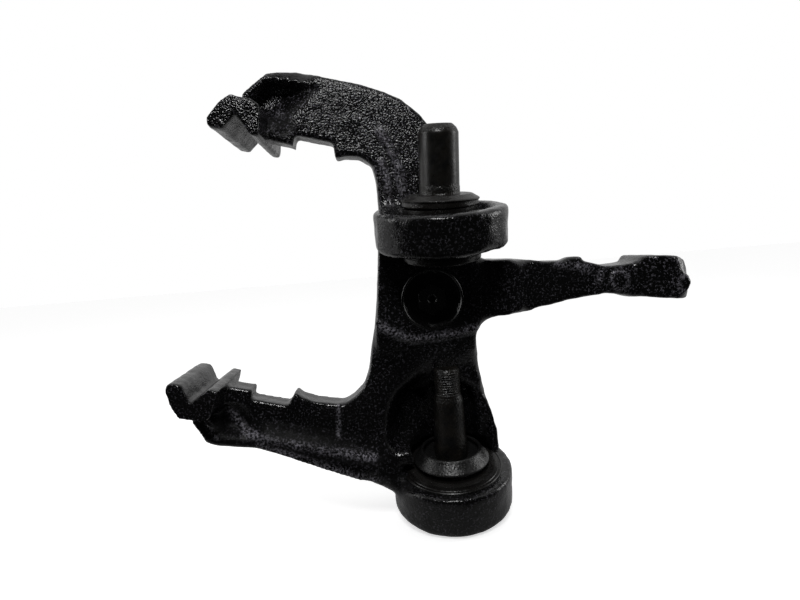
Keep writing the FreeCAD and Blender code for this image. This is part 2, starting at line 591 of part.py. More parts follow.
upper_stud = ball_stud("upper_ball_stud", size.upper_ball_radius, [
    (0, 0), (size.joint_neck_radius, 0), (size.joint_neck_radius, size.upper_plate_rise - 2.8),
    (size.upper_plate_bore - size.fit_gap, size.upper_plate_rise - 0.4),
    (size.upper_plate_bore - size.fit_gap, upper_plate_top), (size.upper_stud_radius, upper_plate_top + 0.4),
    (size.upper_stud_radius, size.upper_stud_length - size.upper_stud_chamfer),
    (size.upper_stud_radius - 1, size.upper_stud_length - 2),
    (size.upper_stud_radius - 3, size.upper_stud_length), (0, size.upper_stud_length)])
upper_plate = turned("upper_dust_plate", [
    (size.upper_plate_bore, size.upper_plate_rise),
    (size.upper_plate_radius, size.upper_plate_rise),
    (size.upper_plate_radius, size.upper_plate_rise + 0.8),
    (size.upper_plate_top_radius, upper_plate_top), (size.upper_plate_bore, upper_plate_top)])
for item in (upper_stud, upper_plate):
    place(item, on_axis(size.upper_ball_height, size.upper_eye_lean), pitch=size.upper_stud_lean,
          roll=size.upper_eye_lean - size.upper_stud_setback)

# The lower ball joint, pressed up into the lower eye and held by a retaining ring.
drop = -size.lower_eye_drop
ball_drop = -size.lower_ball_depth
lower_foot = -size.lower_eye_height + 0.2
lower_seat_top = ball_drop + size.lower_seat_height
lower_housing = turned("lower_joint_housing", [
    (size.socket_radius, lower_seat_top + size.fit_gap), (size.socket_radius, lower_foot + size.lip),
    (size.socket_radius - 1.6, lower_foot), (bore - 1, lower_foot), (bore, lower_foot + 1), (bore, 0),
    (size.lower_flange_radius, 0), (size.lower_flange_radius, size.lower_flange_top - 0.4),
    (size.lower_flange_radius - 0.4, size.lower_flange_top), (size.lower_neck_radius, size.lower_flange_top),
    (size.lower_neck_radius, size.lower_flange_top + 0.4),
    (size.lower_neck_radius - 1.4, size.lower_flange_top + 0.4),
    (size.lower_mouth_radius, size.lower_flange_top),
    (size.lower_throat_radius, lower_seat_top + size.fit_gap)])
stand(lower_housing, drop)
lower_inside = inside_parts("lower", lower_foot, ball_drop, size.lower_ball_radius, lower_seat_top, drop,
                            size.kingpin_lean)
ring_blank = stand(cylinder("ring_blank", size.ring_radius, size.ring_thickness),
                   drop + size.lower_flange_top)
ring_hole = stand(cylinder("ring_hole", size.lower_neck_radius + size.fit_gap, size.ring_thickness),
                  drop + size.lower_flange_top)
ring_split = stand(box("ring_split", size.ring_gap, size.ring_radius + 2, size.ring_thickness),
                   drop + size.lower_flange_top)
ring = cut("lower_retaining_ring", ring_blank, fuse("ring_tools", ring_hole, ring_split))
lower_stud = ball_stud("lower_ball_stud", size.lower_ball_radius, [
    (0, 0), (size.joint_neck_radius, 0), (size.joint_neck_radius, size.cover_rise - 1.6),
    (size.lower_stud_base_radius, size.cover_rise),
    (size.lower_stud_base_radius, size.cover_rise + size.lower_base_length),
    (size.lower_taper_top_radius, size.lower_taper_top),
    (size.lower_thread_radius, size.lower_thread_start),
    (size.lower_thread_radius, size.lower_stud_length - 1.2),
    (size.lower_thread_radius - 1.2, size.lower_stud_length), (0, size.lower_stud_length)])
cover_top = size.cover_rise + size.cover_height
lower_cover = turned("lower_dust_cover", [
    (size.lower_stud_base_radius + size.fit_gap, size.cover_rise + 0.2),
    (size.cover_radius - 0.8, size.cover_rise),
    (size.cover_radius, size.cover_rise + 0.6), (size.cover_top_radius, cover_top),
    (size.cover_top_radius - size.cover_wall, cover_top),
    (size.cover_radius - size.cover_wall - 1.8, size.cover_rise + size.cover_wall + 0.8),
    (size.lower_stud_base_radius + size.fit_gap, size.cover_rise + size.cover_wall + 0.8)])
for item in (lower_stud, lower_cover):
    place(item, on_axis(drop + ball_drop), roll=size.kingpin_lean - size.lower_stud_setback)

# The source checks itself, and then writes one file for each sub-part.
doc.recompute()
troubled = [item.Name for item in doc.Objects if set(item.State) & {"Invalid", "Error"}]
if troubled:
    raise RuntimeError("these objects failed: " + ", ".join(troubled))
nodes = [knuckle, upper_housing, *upper_inside, upper_stud, upper_plate,
         lower_housing, *lower_inside, ring, lower_stud, lower_cover]
os.makedirs("parts", exist_ok=True)
for node in nodes:
    if node.Shape.isNull() or not node.Shape.isValid():
        raise RuntimeError(node.Label + " has no valid shape")
for node in nodes:
    node.Shape.exportStep("parts/" + node.Label + ".step")
    box_now = node.Shape.BoundBox
    print("%-24s %2d solid %10.0f mm3  X %.1f..%.1f  Y %.1f..%.1f  Z %.1f..%.1f" % (
        node.Label, len(node.Shape.Solids), node.Shape.Volume, box_now.XMin, box_now.XMax,
        box_now.YMin, box_now.YMax, box_now.ZMin, box_now.ZMax))
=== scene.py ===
# %% [markdown]
# A forged steering knuckle, dressed piece by piece.
# The real object is a hot-forged steel arm that carries a wheel spindle and two pressed-in ball
# joints, all sprayed with one coat of black chassis paint over the rough forged skin.
# The imported model is loaded first: it fixes where every piece is, in metres, and nothing below
# moves it. Its box is kept.
#
# %% The imported model
import json
import math
import bmesh
import bpy
import numpy as np
from mathutils import Matrix, Vector


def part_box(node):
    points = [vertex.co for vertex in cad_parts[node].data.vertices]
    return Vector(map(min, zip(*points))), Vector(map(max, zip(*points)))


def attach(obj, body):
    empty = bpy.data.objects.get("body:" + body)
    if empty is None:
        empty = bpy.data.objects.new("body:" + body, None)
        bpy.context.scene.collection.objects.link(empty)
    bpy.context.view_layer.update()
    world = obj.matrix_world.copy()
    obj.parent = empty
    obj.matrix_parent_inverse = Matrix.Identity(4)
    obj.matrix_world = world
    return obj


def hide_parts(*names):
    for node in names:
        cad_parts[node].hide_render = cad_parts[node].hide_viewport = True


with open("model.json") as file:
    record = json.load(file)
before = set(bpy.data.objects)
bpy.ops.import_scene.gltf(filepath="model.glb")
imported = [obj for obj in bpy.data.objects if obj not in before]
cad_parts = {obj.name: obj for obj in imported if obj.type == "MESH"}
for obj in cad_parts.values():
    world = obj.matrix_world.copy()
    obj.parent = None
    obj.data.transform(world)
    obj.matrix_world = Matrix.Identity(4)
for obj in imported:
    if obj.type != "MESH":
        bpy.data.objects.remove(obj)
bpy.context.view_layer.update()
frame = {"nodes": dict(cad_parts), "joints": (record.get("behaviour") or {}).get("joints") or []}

MM = 0.001

# %% [markdown]
# The camera stands where the photograph was taken from: about 0.28 m in front of the inboard
# side, a little left of the wheel axis, looking slightly down and rolled a few degrees.
# Its turn is built from three angles, so that each of them can be read and changed by itself.
#
# %% Camera
IMAGE_WIDTH = 800
FOCAL_PIXELS = 560.0
SENSOR_WIDTH = 36.0
CAMERA_PLACE = Vector((-0.02966, -0.33980, 0.02793))
CAMERA_YAW = math.radians(2.437)
CAMERA_DIP = math.radians(5.213)
CAMERA_ROLL = math.radians(4.613)


def camera_turn(yaw, dip, roll):
    """Looks along +Y, swings right by yaw and down by dip, then rolls about the line of sight."""
    sight = Vector((math.sin(yaw) * math.cos(dip), math.cos(yaw) * math.cos(dip), -math.sin(dip)))
    level = sight.cross(Vector((0, 0, 1))).normalized()
    upright = level.cross(sight)
    right = level * math.cos(roll) - upright * math.sin(roll)
    up = level * math.sin(roll) + upright * math.cos(roll)
    return Matrix((right, up, -sight)).transposed().to_4x4()


camera_data = bpy.data.cameras.new("camera")
camera_data.sensor_width = SENSOR_WIDTH
camera_data.lens = FOCAL_PIXELS / IMAGE_WIDTH * SENSOR_WIDTH
camera_data.clip_start = 0.01
camera = bpy.data.objects.new("camera", camera_data)
camera.matrix_world = camera_turn(CAMERA_YAW, CAMERA_DIP, CAMERA_ROLL)
camera.location = CAMERA_PLACE
bpy.context.scene.collection.objects.link(camera)
bpy.context.scene.camera = camera
print("lens", round(camera_data.lens, 2), "mm")

# %% [markdown]
# Every finish is a small tree of shader nodes, and so is the surround. This helper keeps the trees
# short to write: it adds a node, sets its plain inputs and links the rest. Patterns read Object
# coordinates, which are metres in the frame that all pieces share, so a pattern doesn't change its
# scale between pieces.
#
# %% Material helper


class Finish:
    """One tree of nodes: put() adds a node, and a value that is a socket is linked, not copied."""

    def __init__(self, name, owner=None):
        """The tree of a new material with that name, or of the owner, such as a world."""
        self.owner = owner or bpy.data.materials.new(name)
        self.owner.use_nodes = True
        self.tree = self.owner.node_tree
        self.tree.nodes.clear()
        self.place = self.put("ShaderNodeTexCoord").outputs["Object"]

    def put(self, kind, settings=None, **inputs):
        """Adds a node of that kind, with its settings and inputs. An underscore in an input's name
        stands for a space, and _0, _1 and so on name an input by its number."""
        node = self.tree.nodes.new(kind)
        for name, value in (settings or {}).items():
            setattr(node, name, value)
        for name, value in inputs.items():
            key = int(name[1:]) if name[0] == "_" else name.replace("_", " ")
            self.feed(node.inputs[key], value)
        return node

    def feed(self, socket, value):
        """Links the value to the socket if it is a socket too, and otherwise sets it."""
        if isinstance(value, bpy.types.NodeSocket):
            self.tree.links.new(value, socket)
        else:
            socket.default_value = value

    def math(self, operation, first, second):
        """The result of one operation, such as ADD or MULTIPLY, on two numbers or sockets."""
        node = self.put("ShaderNodeMath", {"operation": operation}, _0=first, _1=second)
        return node.outputs[0]

    def attribute(self, name):
        """The number that the mesh keeps for each of its points under that name."""
        return self.put("ShaderNodeAttribute", {"attribute_name": name}).outputs["Fac"]

    def noise(self, scale, detail=2.0, roughness=0.5):
        """Cloudy noise around 0.5, with about scale lumps to a metre."""
        node = self.put("ShaderNodeTexNoise", Vector=self.place, Scale=scale, Detail=detail,
                        Roughness=roughness)
        return node.outputs["Fac"]

    def stretch(self, value, low, high, to_low=0.0, to_high=1.0):
        """Maps value from low..high to to_low..to_high along a straight line, and stops at both ends."""
        node = self.put("ShaderNodeMapRange", {"clamp": True}, Value=value, From_Min=low, From_Max=high,
                        To_Min=to_low, To_Max=to_high)
        return node.outputs["Result"]

    def blend(self, share, first, second):
        """The colour first where share is 0 and second where it is 1."""
        node = self.put("ShaderNodeMix", {"data_type": "RGBA"})
        self.feed(node.inputs[0], share)
        self.feed(node.inputs[6], first)
        self.feed(node.inputs[7], second)
        return node.outputs[2]

    def bump(self, height, distance, strength=1.0, below=None):
        """A relief of that height at most, laid over the relief below it."""
        node = self.put("ShaderNodeBump", Height=height, Distance=distance, Strength=strength)
        if below is not None:
            self.tree.links.new(below, node.inputs["Normal"])
        return node.outputs["Normal"]

    def end(self, shader, output="ShaderNodeOutputMaterial"):
        """Links a shader to the tree's output, and returns what the tree belongs to."""
        self.tree.links.new(shader.outputs[0], self.put(output).inputs["Surface"])
        return self.owner

    def close(self, **inputs):
        """Ends the tree in a Principled shader with these inputs."""
        return self.end(self.put("ShaderNodeBsdfPrincipled", **inputs))


def grey(level, warmth=0.0):
    """A near-neutral colour: warmth lifts red and lowers blue by that share of the level."""
    return (level * (1 + warmth), level, level * (1 - warmth), 1.0)


print("material helper ready")

# %% [markdown]
# The knuckle hangs in front of plain white in the photograph. A wide pale floor just under its
# lowest point does that job here, and keeps a little of the shadow. Black gloss paint shows its
# shape only by what it mirrors, and in the photograph the faces towards the lens stay black. So
# the floor is white to the camera, but in a mirror it goes dark in front of the object.
#
# %% Floor
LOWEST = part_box("knuckle_forging")[0].z
FLOOR_HALF = 3.0
FLOOR_GAP = 0.2 * MM
FLOOR_WHITE = 0.85
FLOOR_GLOW = 0.62
ROOM_DARK = 0.01
ROOM_LIGHT = 0.58
ROOM_EDGE = -0.02
ROOM_FADE = 0.09


def floor_finish():
    """A matt white that glows a little to the camera. To other rays its level rises along y from
    ROOM_DARK to ROOM_LIGHT, over the distance ROOM_FADE in front of ROOM_EDGE."""
    finish = Finish("pale_floor")
    deep = finish.put("ShaderNodeSeparateXYZ", Vector=finish.place).outputs["Y"]
    level = finish.stretch(deep, ROOM_EDGE - ROOM_FADE, ROOM_EDGE, ROOM_DARK, ROOM_LIGHT)
    mirrored = finish.put("ShaderNodeCombineColor", Red=level, Green=level, Blue=level).outputs[0]
    ray = finish.put("ShaderNodeLightPath").outputs["Is Camera Ray"]
    matt = finish.put("ShaderNodeBsdfDiffuse", Color=finish.blend(ray, mirrored, grey(FLOOR_WHITE)))
    strength = finish.math("MULTIPLY", ray, FLOOR_GLOW)
    glow = finish.put("ShaderNodeEmission", Color=(1, 1, 1, 1), Strength=strength)
    return finish.end(finish.put("ShaderNodeAddShader", _0=matt.outputs[0], _1=glow.outputs[0]))


def flat_sheet(name, half, height):
    """A square of side 2 * half at that height: the grid x = u, y = v for u, v from -half to half."""
    corner = np.array([-half, half])
    x, y = np.meshgrid(corner, corner)
    points = np.stack([x, y, np.full_like(x, height)], axis=-1).reshape(-1, 3)
    mesh = bpy.data.meshes.new(name)
    mesh.from_pydata(points.tolist(), [], [(0, 1, 3, 2)])
    sheet = bpy.data.objects.new(name, mesh)
    bpy.context.scene.collection.objects.link(sheet)
    return sheet


floor = flat_sheet("floor", FLOOR_HALF, LOWEST - FLOOR_GAP)
floor.data.materials.append(floor_finish())
print("floor at", round(LOWEST / MM, 1), "mm")

# %% [markdown]
# The surround is a world, whose colour is a tree of nodes as a material's is. It is white to the
# camera. To all other rays it is pale behind and beside the object and dark behind the camera, as
# a studio is, with a soft change between the two.
#
# %% Surround
ROOM_TURN = (-0.50, -0.15)
world = bpy.data.worlds.new("surround")
bpy.context.scene.world = world
room = Finish("surround", world)
sight = room.put("ShaderNodeTexCoord").outputs["Generated"]
toward = room.put("ShaderNodeSeparateXYZ", Vector=sight).outputs["Y"]
side = room.put("ShaderNodeMapRange", {"interpolation_type": "SMOOTHSTEP"}, Value=toward,
                From_Min=ROOM_TURN[0], From_Max=ROOM_TURN[1], To_Min=ROOM_DARK, To_Max=ROOM_LIGHT)
ray = room.put("ShaderNodeLightPath").outputs["Is Camera Ray"]
level = room.put("ShaderNodeMix", {"data_type": "FLOAT"}, _0=ray, _2=side.outputs["Result"], _3=1.0)
backing = room.put("ShaderNodeBackground", Color=(1, 1, 1, 1), Strength=level.outputs[0])
room.end(backing, "ShaderNodeOutputWorld")
print("surround from", ROOM_DARK, "to", ROOM_LIGHT)

# %% [markdown]
# Three soft boxes light the object, one above the camera and one on each side, where they draw the
# long edges. They are small and weak, because gloss paint mirrors them as its highlights.
#
# %% Lamps
CENTRE = (0.0, -0.03, 0.0)


def soft_box(name, place, width, height, watts):
    """A rectangular lamp at place that faces CENTRE."""
    lamp = bpy.data.lights.new(name, "AREA")
    lamp.shape = "RECTANGLE"
    lamp.size = width
    lamp.size_y = height
    lamp.energy = watts
    item = bpy.data.objects.new(name, lamp)
    item.location = place
    item.rotation_euler = (Vector(CENTRE) - Vector(place)).to_track_quat("-Z", "Y").to_euler()
    bpy.context.scene.collection.objects.link(item)


soft_box("lamp_over_camera", (-0.10, -0.80, 0.70), 0.30, 0.20, 4.5)
soft_box("lamp_left", (-1.10, -0.10, 0.35), 0.30, 0.60, 2.0)
soft_box("lamp_right", (1.10, 0.0, 0.25), 0.30, 0.60, 2.0)
bpy.context.scene.view_settings.view_transform = "Standard"
print("lamps:", len(bpy.data.lights))

# %% [markdown]
# These helpers turn arrays into meshes. A grid of points becomes a skin of four-sided faces, and a
# turned piece is such a grid whose rows are rings about an axis, closed by a point at each end
# where its profile meets the axis. Spin or Screw could turn a profile too, but in an array the
# radius can change with the turn, which gives threads, a keyway and flats.
#
# %% Mesh helpers


def outward_mesh(name, points, faces):
    """A closed mesh whose faces point outwards: they are flipped if its volume comes out negative."""
    mesh = bpy.data.meshes.new(name)
    mesh.from_pydata(points.tolist(), [], faces.tolist() if hasattr(faces, "tolist") else faces)
    mesh.update()
    mesh.calc_loop_triangles()
    corners = np.zeros(len(mesh.loop_triangles) * 3, int)
    mesh.loop_triangles.foreach_get("vertices", corners)
    a, b, c = np.asarray(points)[corners.reshape(-1, 3)].transpose(1, 0, 2)
    if np.einsum("ij,ij->", a, np.cross(b, c)) < 0:
        mesh.flip_normals()
    return mesh


def new_piece(name, points, faces, finish, body, smooth_angle):
    """A piece from an array of points and their faces: outward_mesh, and then dress."""
    return dress(outward_mesh(name, points, faces), name, finish, body, smooth_angle)


def dress(mesh, name, finish, body, smooth_angle):
    """Shades a mesh smooth except at sharp edges, gives it its finish and puts it on its body."""
    mesh.polygons.foreach_set("use_smooth", np.ones(len(mesh.polygons), bool))
    mesh.set_sharp_from_angle(angle=math.radians(smooth_angle))
    mesh.materials.clear()
    mesh.materials.append(finish)
    item = bpy.data.objects.new(name, mesh)
    bpy.context.scene.collection.objects.link(item)
    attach(item, body)
    return item


class Axis:
    """A line in space with two directions square to it: at(r, turn, along) gives points about it."""

    def __init__(self, origin, direction):
        self.origin = np.array(origin, float)
        self.up = np.array(direction, float) / np.linalg.norm(direction)
        self.side = np.cross((0.0, 1.0, 0.0), self.up)
        if np.linalg.norm(self.side) < 0.1:
            self.side = np.cross((0.0, 0.0, 1.0), self.up)
        self.side /= np.linalg.norm(self.side)
        self.front = np.cross(self.up, self.side)

    def at(self, radius, turn, along):
        """origin + radius * (side * cos(turn) + front * sin(turn)) + up * along, for whole arrays."""
        radius, turn, along = (value[..., None] for value in np.broadcast_arrays(radius, turn, along))
        across = radius * (np.cos(turn) * self.side + np.sin(turn) * self.front)
        return self.origin + across + along * self.up

    def measure(self, points):
        """The radius, turn and place along the axis of each point."""
        offset = points - self.origin
        x, y = offset @ self.side, offset @ self.front
        return np.hypot(x, y), np.arctan2(y, x), offset @ self.up


def resample(corners, step):
    """Points about one step apart along a polyline of (radius, height), with every corner kept."""
    corners = np.array(corners, float)
    pieces = [np.linspace(a, b, max(1, int(np.ceil(np.linalg.norm(b - a) / step))), endpoint=False)
              for a, b in zip(corners[:-1], corners[1:])]
    return np.vstack(pieces + [corners[-1:]])


def ring_faces(rows, columns, closed=False):
    """Faces of a grid whose columns close into rings; with closed, the last row joins the first."""
    row = np.arange(rows if closed else rows - 1)[:, None]
    column = np.arange(columns)[None, :]
    below, above = row * columns, (row + 1) % rows * columns
    right = (column + 1) % columns
    return np.stack([below + column, below + right, above + right, above + column], -1).reshape(-1, 4)


def capped_faces(rows, columns):
    """ring_faces, and a fan at each end to the two tips that follow the rings' points."""
    column = np.arange(columns)
    right = (column + 1) % columns
    base, tip = (rows - 1) * columns, rows * columns
    start = np.stack([right, column, np.full(columns, tip)], 1)
    end = np.stack([base + column, base + right, np.full(columns, tip + 1)], 1)
    return ring_faces(rows, columns).tolist() + start.tolist() + end.tolist()


print("mesh helpers ready")

# %% [markdown]
# Forged and painted steel is never quite flat. Lumps come from value noise: random numbers stand
# on the corners of a cubic lattice, and every point takes a smooth mix of the eight around it.
#
# %% Value noise
LATTICE = 32


def value_noise(points, cell, seed):
    """Noise from -1 to 1: each lattice corner holds a random number; between corners the mix
    follows 3t^2 - 2t^3 along each axis."""
    lattice = np.random.default_rng(seed).uniform(-1, 1, (LATTICE, LATTICE, LATTICE))
    scaled = points / cell
    corner = np.floor(scaled).astype(int)
    share = scaled - corner
    share = share * share * (3 - 2 * share)
    total = np.zeros(len(points))
    for step in np.ndindex(2, 2, 2):
        index = (corner + step) % LATTICE
        weight = np.prod(np.where(np.array(step) == 1, share, 1 - share), axis=1)
        total += weight * lattice[index[:, 0], index[:, 1], index[:, 2]]
    return total


print("lattice of", LATTICE ** 3, "numbers")

# %% [markdown]
# The forging is one piece of steel that runs from the wheel spindle to both eyes, the caliper
# bracket and the steering arm. No single formula gives such a body, so its skin starts from the
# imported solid: a merged copy is carved a little further and rebuilt as an even net of squares.
# The cells that follow do it in the order of the works: the body, its soft corners, the pocket,
# the ribs and lumps of the die, the machined faces, and the paint. Most numbers in them are
# millimetres, and MM turns them into metres.
#
# %% Named places on the forging
LEAN = math.radians(11.64)  # of the lower eye, which follows the line between the two balls
UPPER_LEAN = math.radians(10.0)
KINGPIN_POINT = np.array((5.6, -60.0, 46.75)) * MM
LOWER_EYE_DROP = 146.7 * MM
CLOCKING = math.radians(15.0)


def leaning(angle):
    """The direction of +z, tipped towards -y by that angle."""
    return np.array((0.0, -math.sin(angle), math.cos(angle)))


def clocked(reach, rise, depth):
    """A place on the caliper bracket, whose own x and z are turned 15 degrees about the wheel axis."""
    x = reach * math.cos(CLOCKING) + rise * math.sin(CLOCKING)
    z = rise * math.cos(CLOCKING) - reach * math.sin(CLOCKING)
    return np.array((x, depth, z)) * MM


upper_axis = Axis(KINGPIN_POINT, leaning(UPPER_LEAN))
lower_axis = Axis(KINGPIN_POINT - leaning(LEAN) * LOWER_EYE_DROP, leaning(LEAN))
wheel_axis = Axis((0.0, 0.0, 0.0), (0.0, 1.0, 0.0))
print("eyes at", (upper_axis.origin / MM).round(1), "and", (lower_axis.origin / MM).round(1), "mm")

# %% [markdown]
# Carving tools are closed meshes too. The hollow over the lower eye is an oval that narrows
# upwards: milled wide and flat over the eye, and rounded by the die at its crown. Its rows are
# superellipses, so the side walls are nearly straight and the corners stay soft.
#
# %% Carving tools
HOLLOW = np.array([  # height over the eye, and there the left, right and back limits, in mm
    (14.6, -34.6, 17.5, 16.5), (30.0, -34.6, 17.5, 16.5), (38.0, -33.5, 16.5, 13.5),
    (44.0, -31.0, 15.5, 11.0), (50.0, -27.5, 14.0, 8.0), (56.0, -22.0, 11.0, 5.8),
    (61.0, -15.0, 7.0, 4.6), (65.0, -7.0, 2.0, 3.9)]) * MM
HOLLOW_FRONT = -30.0 * MM
HOLLOW_ROWS = 40
HOLLOW_COLUMNS = 72
DRUM_COLUMNS = 96


def hollow_tool():
    """Rows at even heights. On each, x = centre + half * sign(cos t) * |cos t|^0.67, and y the same
    with sin t, where centre and half come from the left, right and back limits at that height."""
    height = np.linspace(HOLLOW[0, 0], HOLLOW[-1, 0], HOLLOW_ROWS)
    left, right, back = (np.interp(height, HOLLOW[:, 0], HOLLOW[:, k]) for k in (1, 2, 3))
    turn = np.linspace(0, 2 * np.pi, HOLLOW_COLUMNS, endpoint=False)
    square = [np.sign(wave) * np.abs(wave) ** 0.67 for wave in (np.cos(turn), np.sin(turn))]
    middle = (left + right) / 2
    depth = (back + HOLLOW_FRONT) / 2
    x = middle[:, None] + ((right - left) / 2)[:, None] * square[0]
    y = depth[:, None] + ((back - HOLLOW_FRONT) / 2)[:, None] * square[1]
    points = lower_axis.at(np.hypot(x, y), np.arctan2(y, x), height[:, None])
    ends = [0, -1]
    tips = lower_axis.at(np.hypot(middle, depth)[ends], np.arctan2(depth, middle)[ends], height[ends])
    return np.vstack([points.reshape(-1, 3), tips]), capped_faces(HOLLOW_ROWS, HOLLOW_COLUMNS)


def drum_tool(axis, size, low, high):
    """A cylinder about an axis: a ring of points at each end, and one more on the axis there."""
    turn = np.linspace(0, 2 * np.pi, DRUM_COLUMNS, endpoint=False)
    rings = [axis.at(size, turn, level) for level in (low, high)]
    tips = axis.at(0.0, 0.0, np.array([low, high]))
    return np.vstack(rings + [tips]), capped_faces(2, DRUM_COLUMNS)


def block_tool(place, lows, highs):
    """A box: the eight corners of lows..highs, put in place by the function place(a, b, c)."""
    limits = (lows, highs)
    corners = [place(limits[i][0], limits[j][1], limits[k][2]) for i, j, k in np.ndindex(2, 2, 2)]
    faces = [(0, 1, 3, 2), (4, 6, 7, 5), (0, 4, 5, 1), (2, 3, 7, 6), (0, 2, 6, 4), (1, 5, 7, 3)]
    return np.array(corners), faces


def over_lower_eye(x, y, height):
    """A place over the lower eye, in its own leaning frame."""
    return lower_axis.at(np.hypot(x, y) * MM, np.arctan2(y, x), np.array(height * MM))


def carve(mesh, steps, voxel=0.0):
    """Joins (UNION) or takes away (DIFFERENCE) each tool in turn, then rebuilds the net if asked."""
    work = bpy.data.objects.new("work", mesh)
    bpy.context.scene.collection.objects.link(work)
    tools = []
    for operation, (corners, faces) in steps:
        tool = bpy.data.objects.new("tool", outward_mesh("tool", corners, faces))
        bpy.context.scene.collection.objects.link(tool)
        tools.append(tool)
        modifier = work.modifiers.new("carve", "BOOLEAN")
        modifier.operation = operation
        modifier.solver = "EXACT"
        modifier.object = tool
    if voxel:
        rebuild = work.modifiers.new("net", "REMESH")
        rebuild.mode = "VOXEL"
        rebuild.voxel_size = voxel
    shaped = work.evaluated_get(bpy.context.evaluated_depsgraph_get())
    result = bpy.data.meshes.new_from_object(shaped)
    for item in [work] + tools:
        bpy.data.objects.remove(item)
    return result


print("hollow tool:", len(hollow_tool()[0]), "points")

# %% [markdown]
# Now the body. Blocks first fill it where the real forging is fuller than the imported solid, and
# the tools then take away the hollow, the counterbore of the upper eye and the recess of the hub.
# A voxel remesh lays an even net of squares over all of it, on which the next steps work the same
# way everywhere. The spindle is cut off, because a turned piece keeps sharper edges than the net.
#
# %% Net of the forging
VOXEL = 1.09 * MM
MERGE = 0.001 * MM
SPINDLE_CUT = -14.5 * MM
SPINDLE_REACH = 30 * MM
FORGING_STEPS = [
    # metal behind the crown of the hollow, and the wall on its right, in two steps
    ("UNION", block_tool(over_lower_eye, (-20.5, 5.0, 44.0), (17.0, 24.0, 63.0))),
    ("UNION", block_tool(over_lower_eye, (16.0, 3.0, 14.2), (21.6, 20.0, 36.0))),
    ("UNION", block_tool(over_lower_eye, (15.0, 4.0, 35.0), (19.4, 20.0, 53.0))),
    # metal behind the end of the lower arm
    ("UNION", block_tool(clocked, (-103.0, -92.0, -35.0), (-75.0, -76.0, -27.0))),
    # the hollow, and then the plain end of the upper arm
    ("DIFFERENCE", hollow_tool()),
    ("UNION", block_tool(clocked, (-103.0, 75.5, -39.9), (-74.0, 98.4, -27.0))),
    # the counterbore of the upper eye and the recess of the hub
    ("DIFFERENCE", drum_tool(upper_axis, 26.3 * MM, -5.3 * MM, 1.0 * MM)),
    ("DIFFERENCE", drum_tool(wheel_axis, 15.3 * MM, -48 * MM, -43.3 * MM))]


def forging_net():
    """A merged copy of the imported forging, cut off behind the spindle, carved and rebuilt."""
    source = frame["nodes"]["knuckle_forging"].data
    shape = bmesh.new()
    shape.from_mesh(source)
    bmesh.ops.remove_doubles(shape, verts=shape.verts, dist=MERGE)
    bmesh.ops.bisect_plane(shape, geom=shape.verts[:] + shape.edges[:] + shape.faces[:],
                           plane_co=(0, SPINDLE_CUT, 0), plane_no=(0, 1, 0))
    middles = [(face, face.calc_center_median()) for face in shape.faces]
    doomed = [face for face, middle in middles
              if middle.y > SPINDLE_CUT and math.hypot(middle.x, middle.z) < SPINDLE_REACH]
    bmesh.ops.delete(shape, geom=doomed, context="FACES")
    open_edges = [edge for edge in shape.edges if edge.is_boundary]
    bmesh.ops.holes_fill(shape, edges=open_edges, sides=0)
    bmesh.ops.triangulate(shape, faces=shape.faces[:])
    mesh = bpy.data.meshes.new("forging_rough")
    shape.to_mesh(mesh)
    shape.free()
    return carve(mesh, FORGING_STEPS, VOXEL)


net = forging_net()
points = np.zeros(len(net.vertices) * 3)
net.vertices.foreach_get("co", points)
points = points.reshape(-1, 3)
print("net:", len(net.vertices), "points,", len(net.polygons), "faces")

# %% [markdown]
# Hot steel fills every inside corner of the die with a fillet and leaves every outside edge round.
# The net does the same when it relaxes: each point moves towards the mean of its neighbours, over
# and over. A Smooth modifier would do this too, but it rounds outside edges as much as inside
# corners. Here a point can be allowed to move outwards only, which adds metal and takes none away.
#
# %% Relaxing a net
edges = np.zeros(len(net.edges) * 2, int)
net.edges.foreach_get("vertices", edges)
edges = edges.reshape(-1, 2)
neighbours = np.bincount(edges.ravel(), minlength=len(points))


def neighbour_mean(values):
    """The mean of each point's neighbours, from the sums over both ends of every edge."""
    columns = [np.bincount(edges[:, 0], values[edges[:, 1], k], len(values)) +
               np.bincount(edges[:, 1], values[edges[:, 0], k], len(values)) for k in range(3)]
    return np.stack(columns, axis=1) / neighbours[:, None]


def normals_of(places):
    """Point normals of the net with its points at these places."""
    net.vertices.foreach_set("co", places.ravel())
    net.update()
    found = np.zeros(len(places) * 3)
    net.vertices.foreach_get("normal", found)
    return found.reshape(-1, 3)


def relax(places, passes, share, only_fill=False):
    """Moves points towards their neighbours' mean by a share, one for all or one each; with
    only_fill, only outwards. The normals are worked out anew at every fourth pass."""
    share = np.reshape(share, (-1, 1))
    for turn in range(passes):
        step = neighbour_mean(places) - places
        if only_fill:
            if turn % 4 == 0:
                outward = normals_of(places)
            lift = np.einsum("ij,ij->i", step, outward)
            step = step * (lift > 0)[:, None]
        places = places + step * share
    return places


def close_to(places, spot, reach):
    """1 near the spot, from 0.375 * reach on falling evenly to 0 at the distance reach."""
    away = np.linalg.norm(places - spot, axis=1)
    return np.clip(1.6 * (1 - away / reach), 0, 1)


def path_distance(places, path):
    """The least distance, seen along y, from each point to the straight runs of a path."""
    flat = places[:, [0, 2]]
    least = np.full(len(places), np.inf)
    for start, end in zip(path[:-1], path[1:]):
        run = end - start
        share = np.clip((flat - start) @ run / (run @ run), 0, 1)
        least = np.minimum(least, np.linalg.norm(flat - start - share[:, None] * run, axis=1))
    return least


def on_bracket(places):
    """The reach and the rise of each point in the bracket's turned frame, in mm."""
    x, z = places[:, 0] / MM, places[:, 2] / MM
    reach = x * math.cos(CLOCKING) - z * math.sin(CLOCKING)
    rise = x * math.sin(CLOCKING) + z * math.cos(CLOCKING)
    return reach, rise


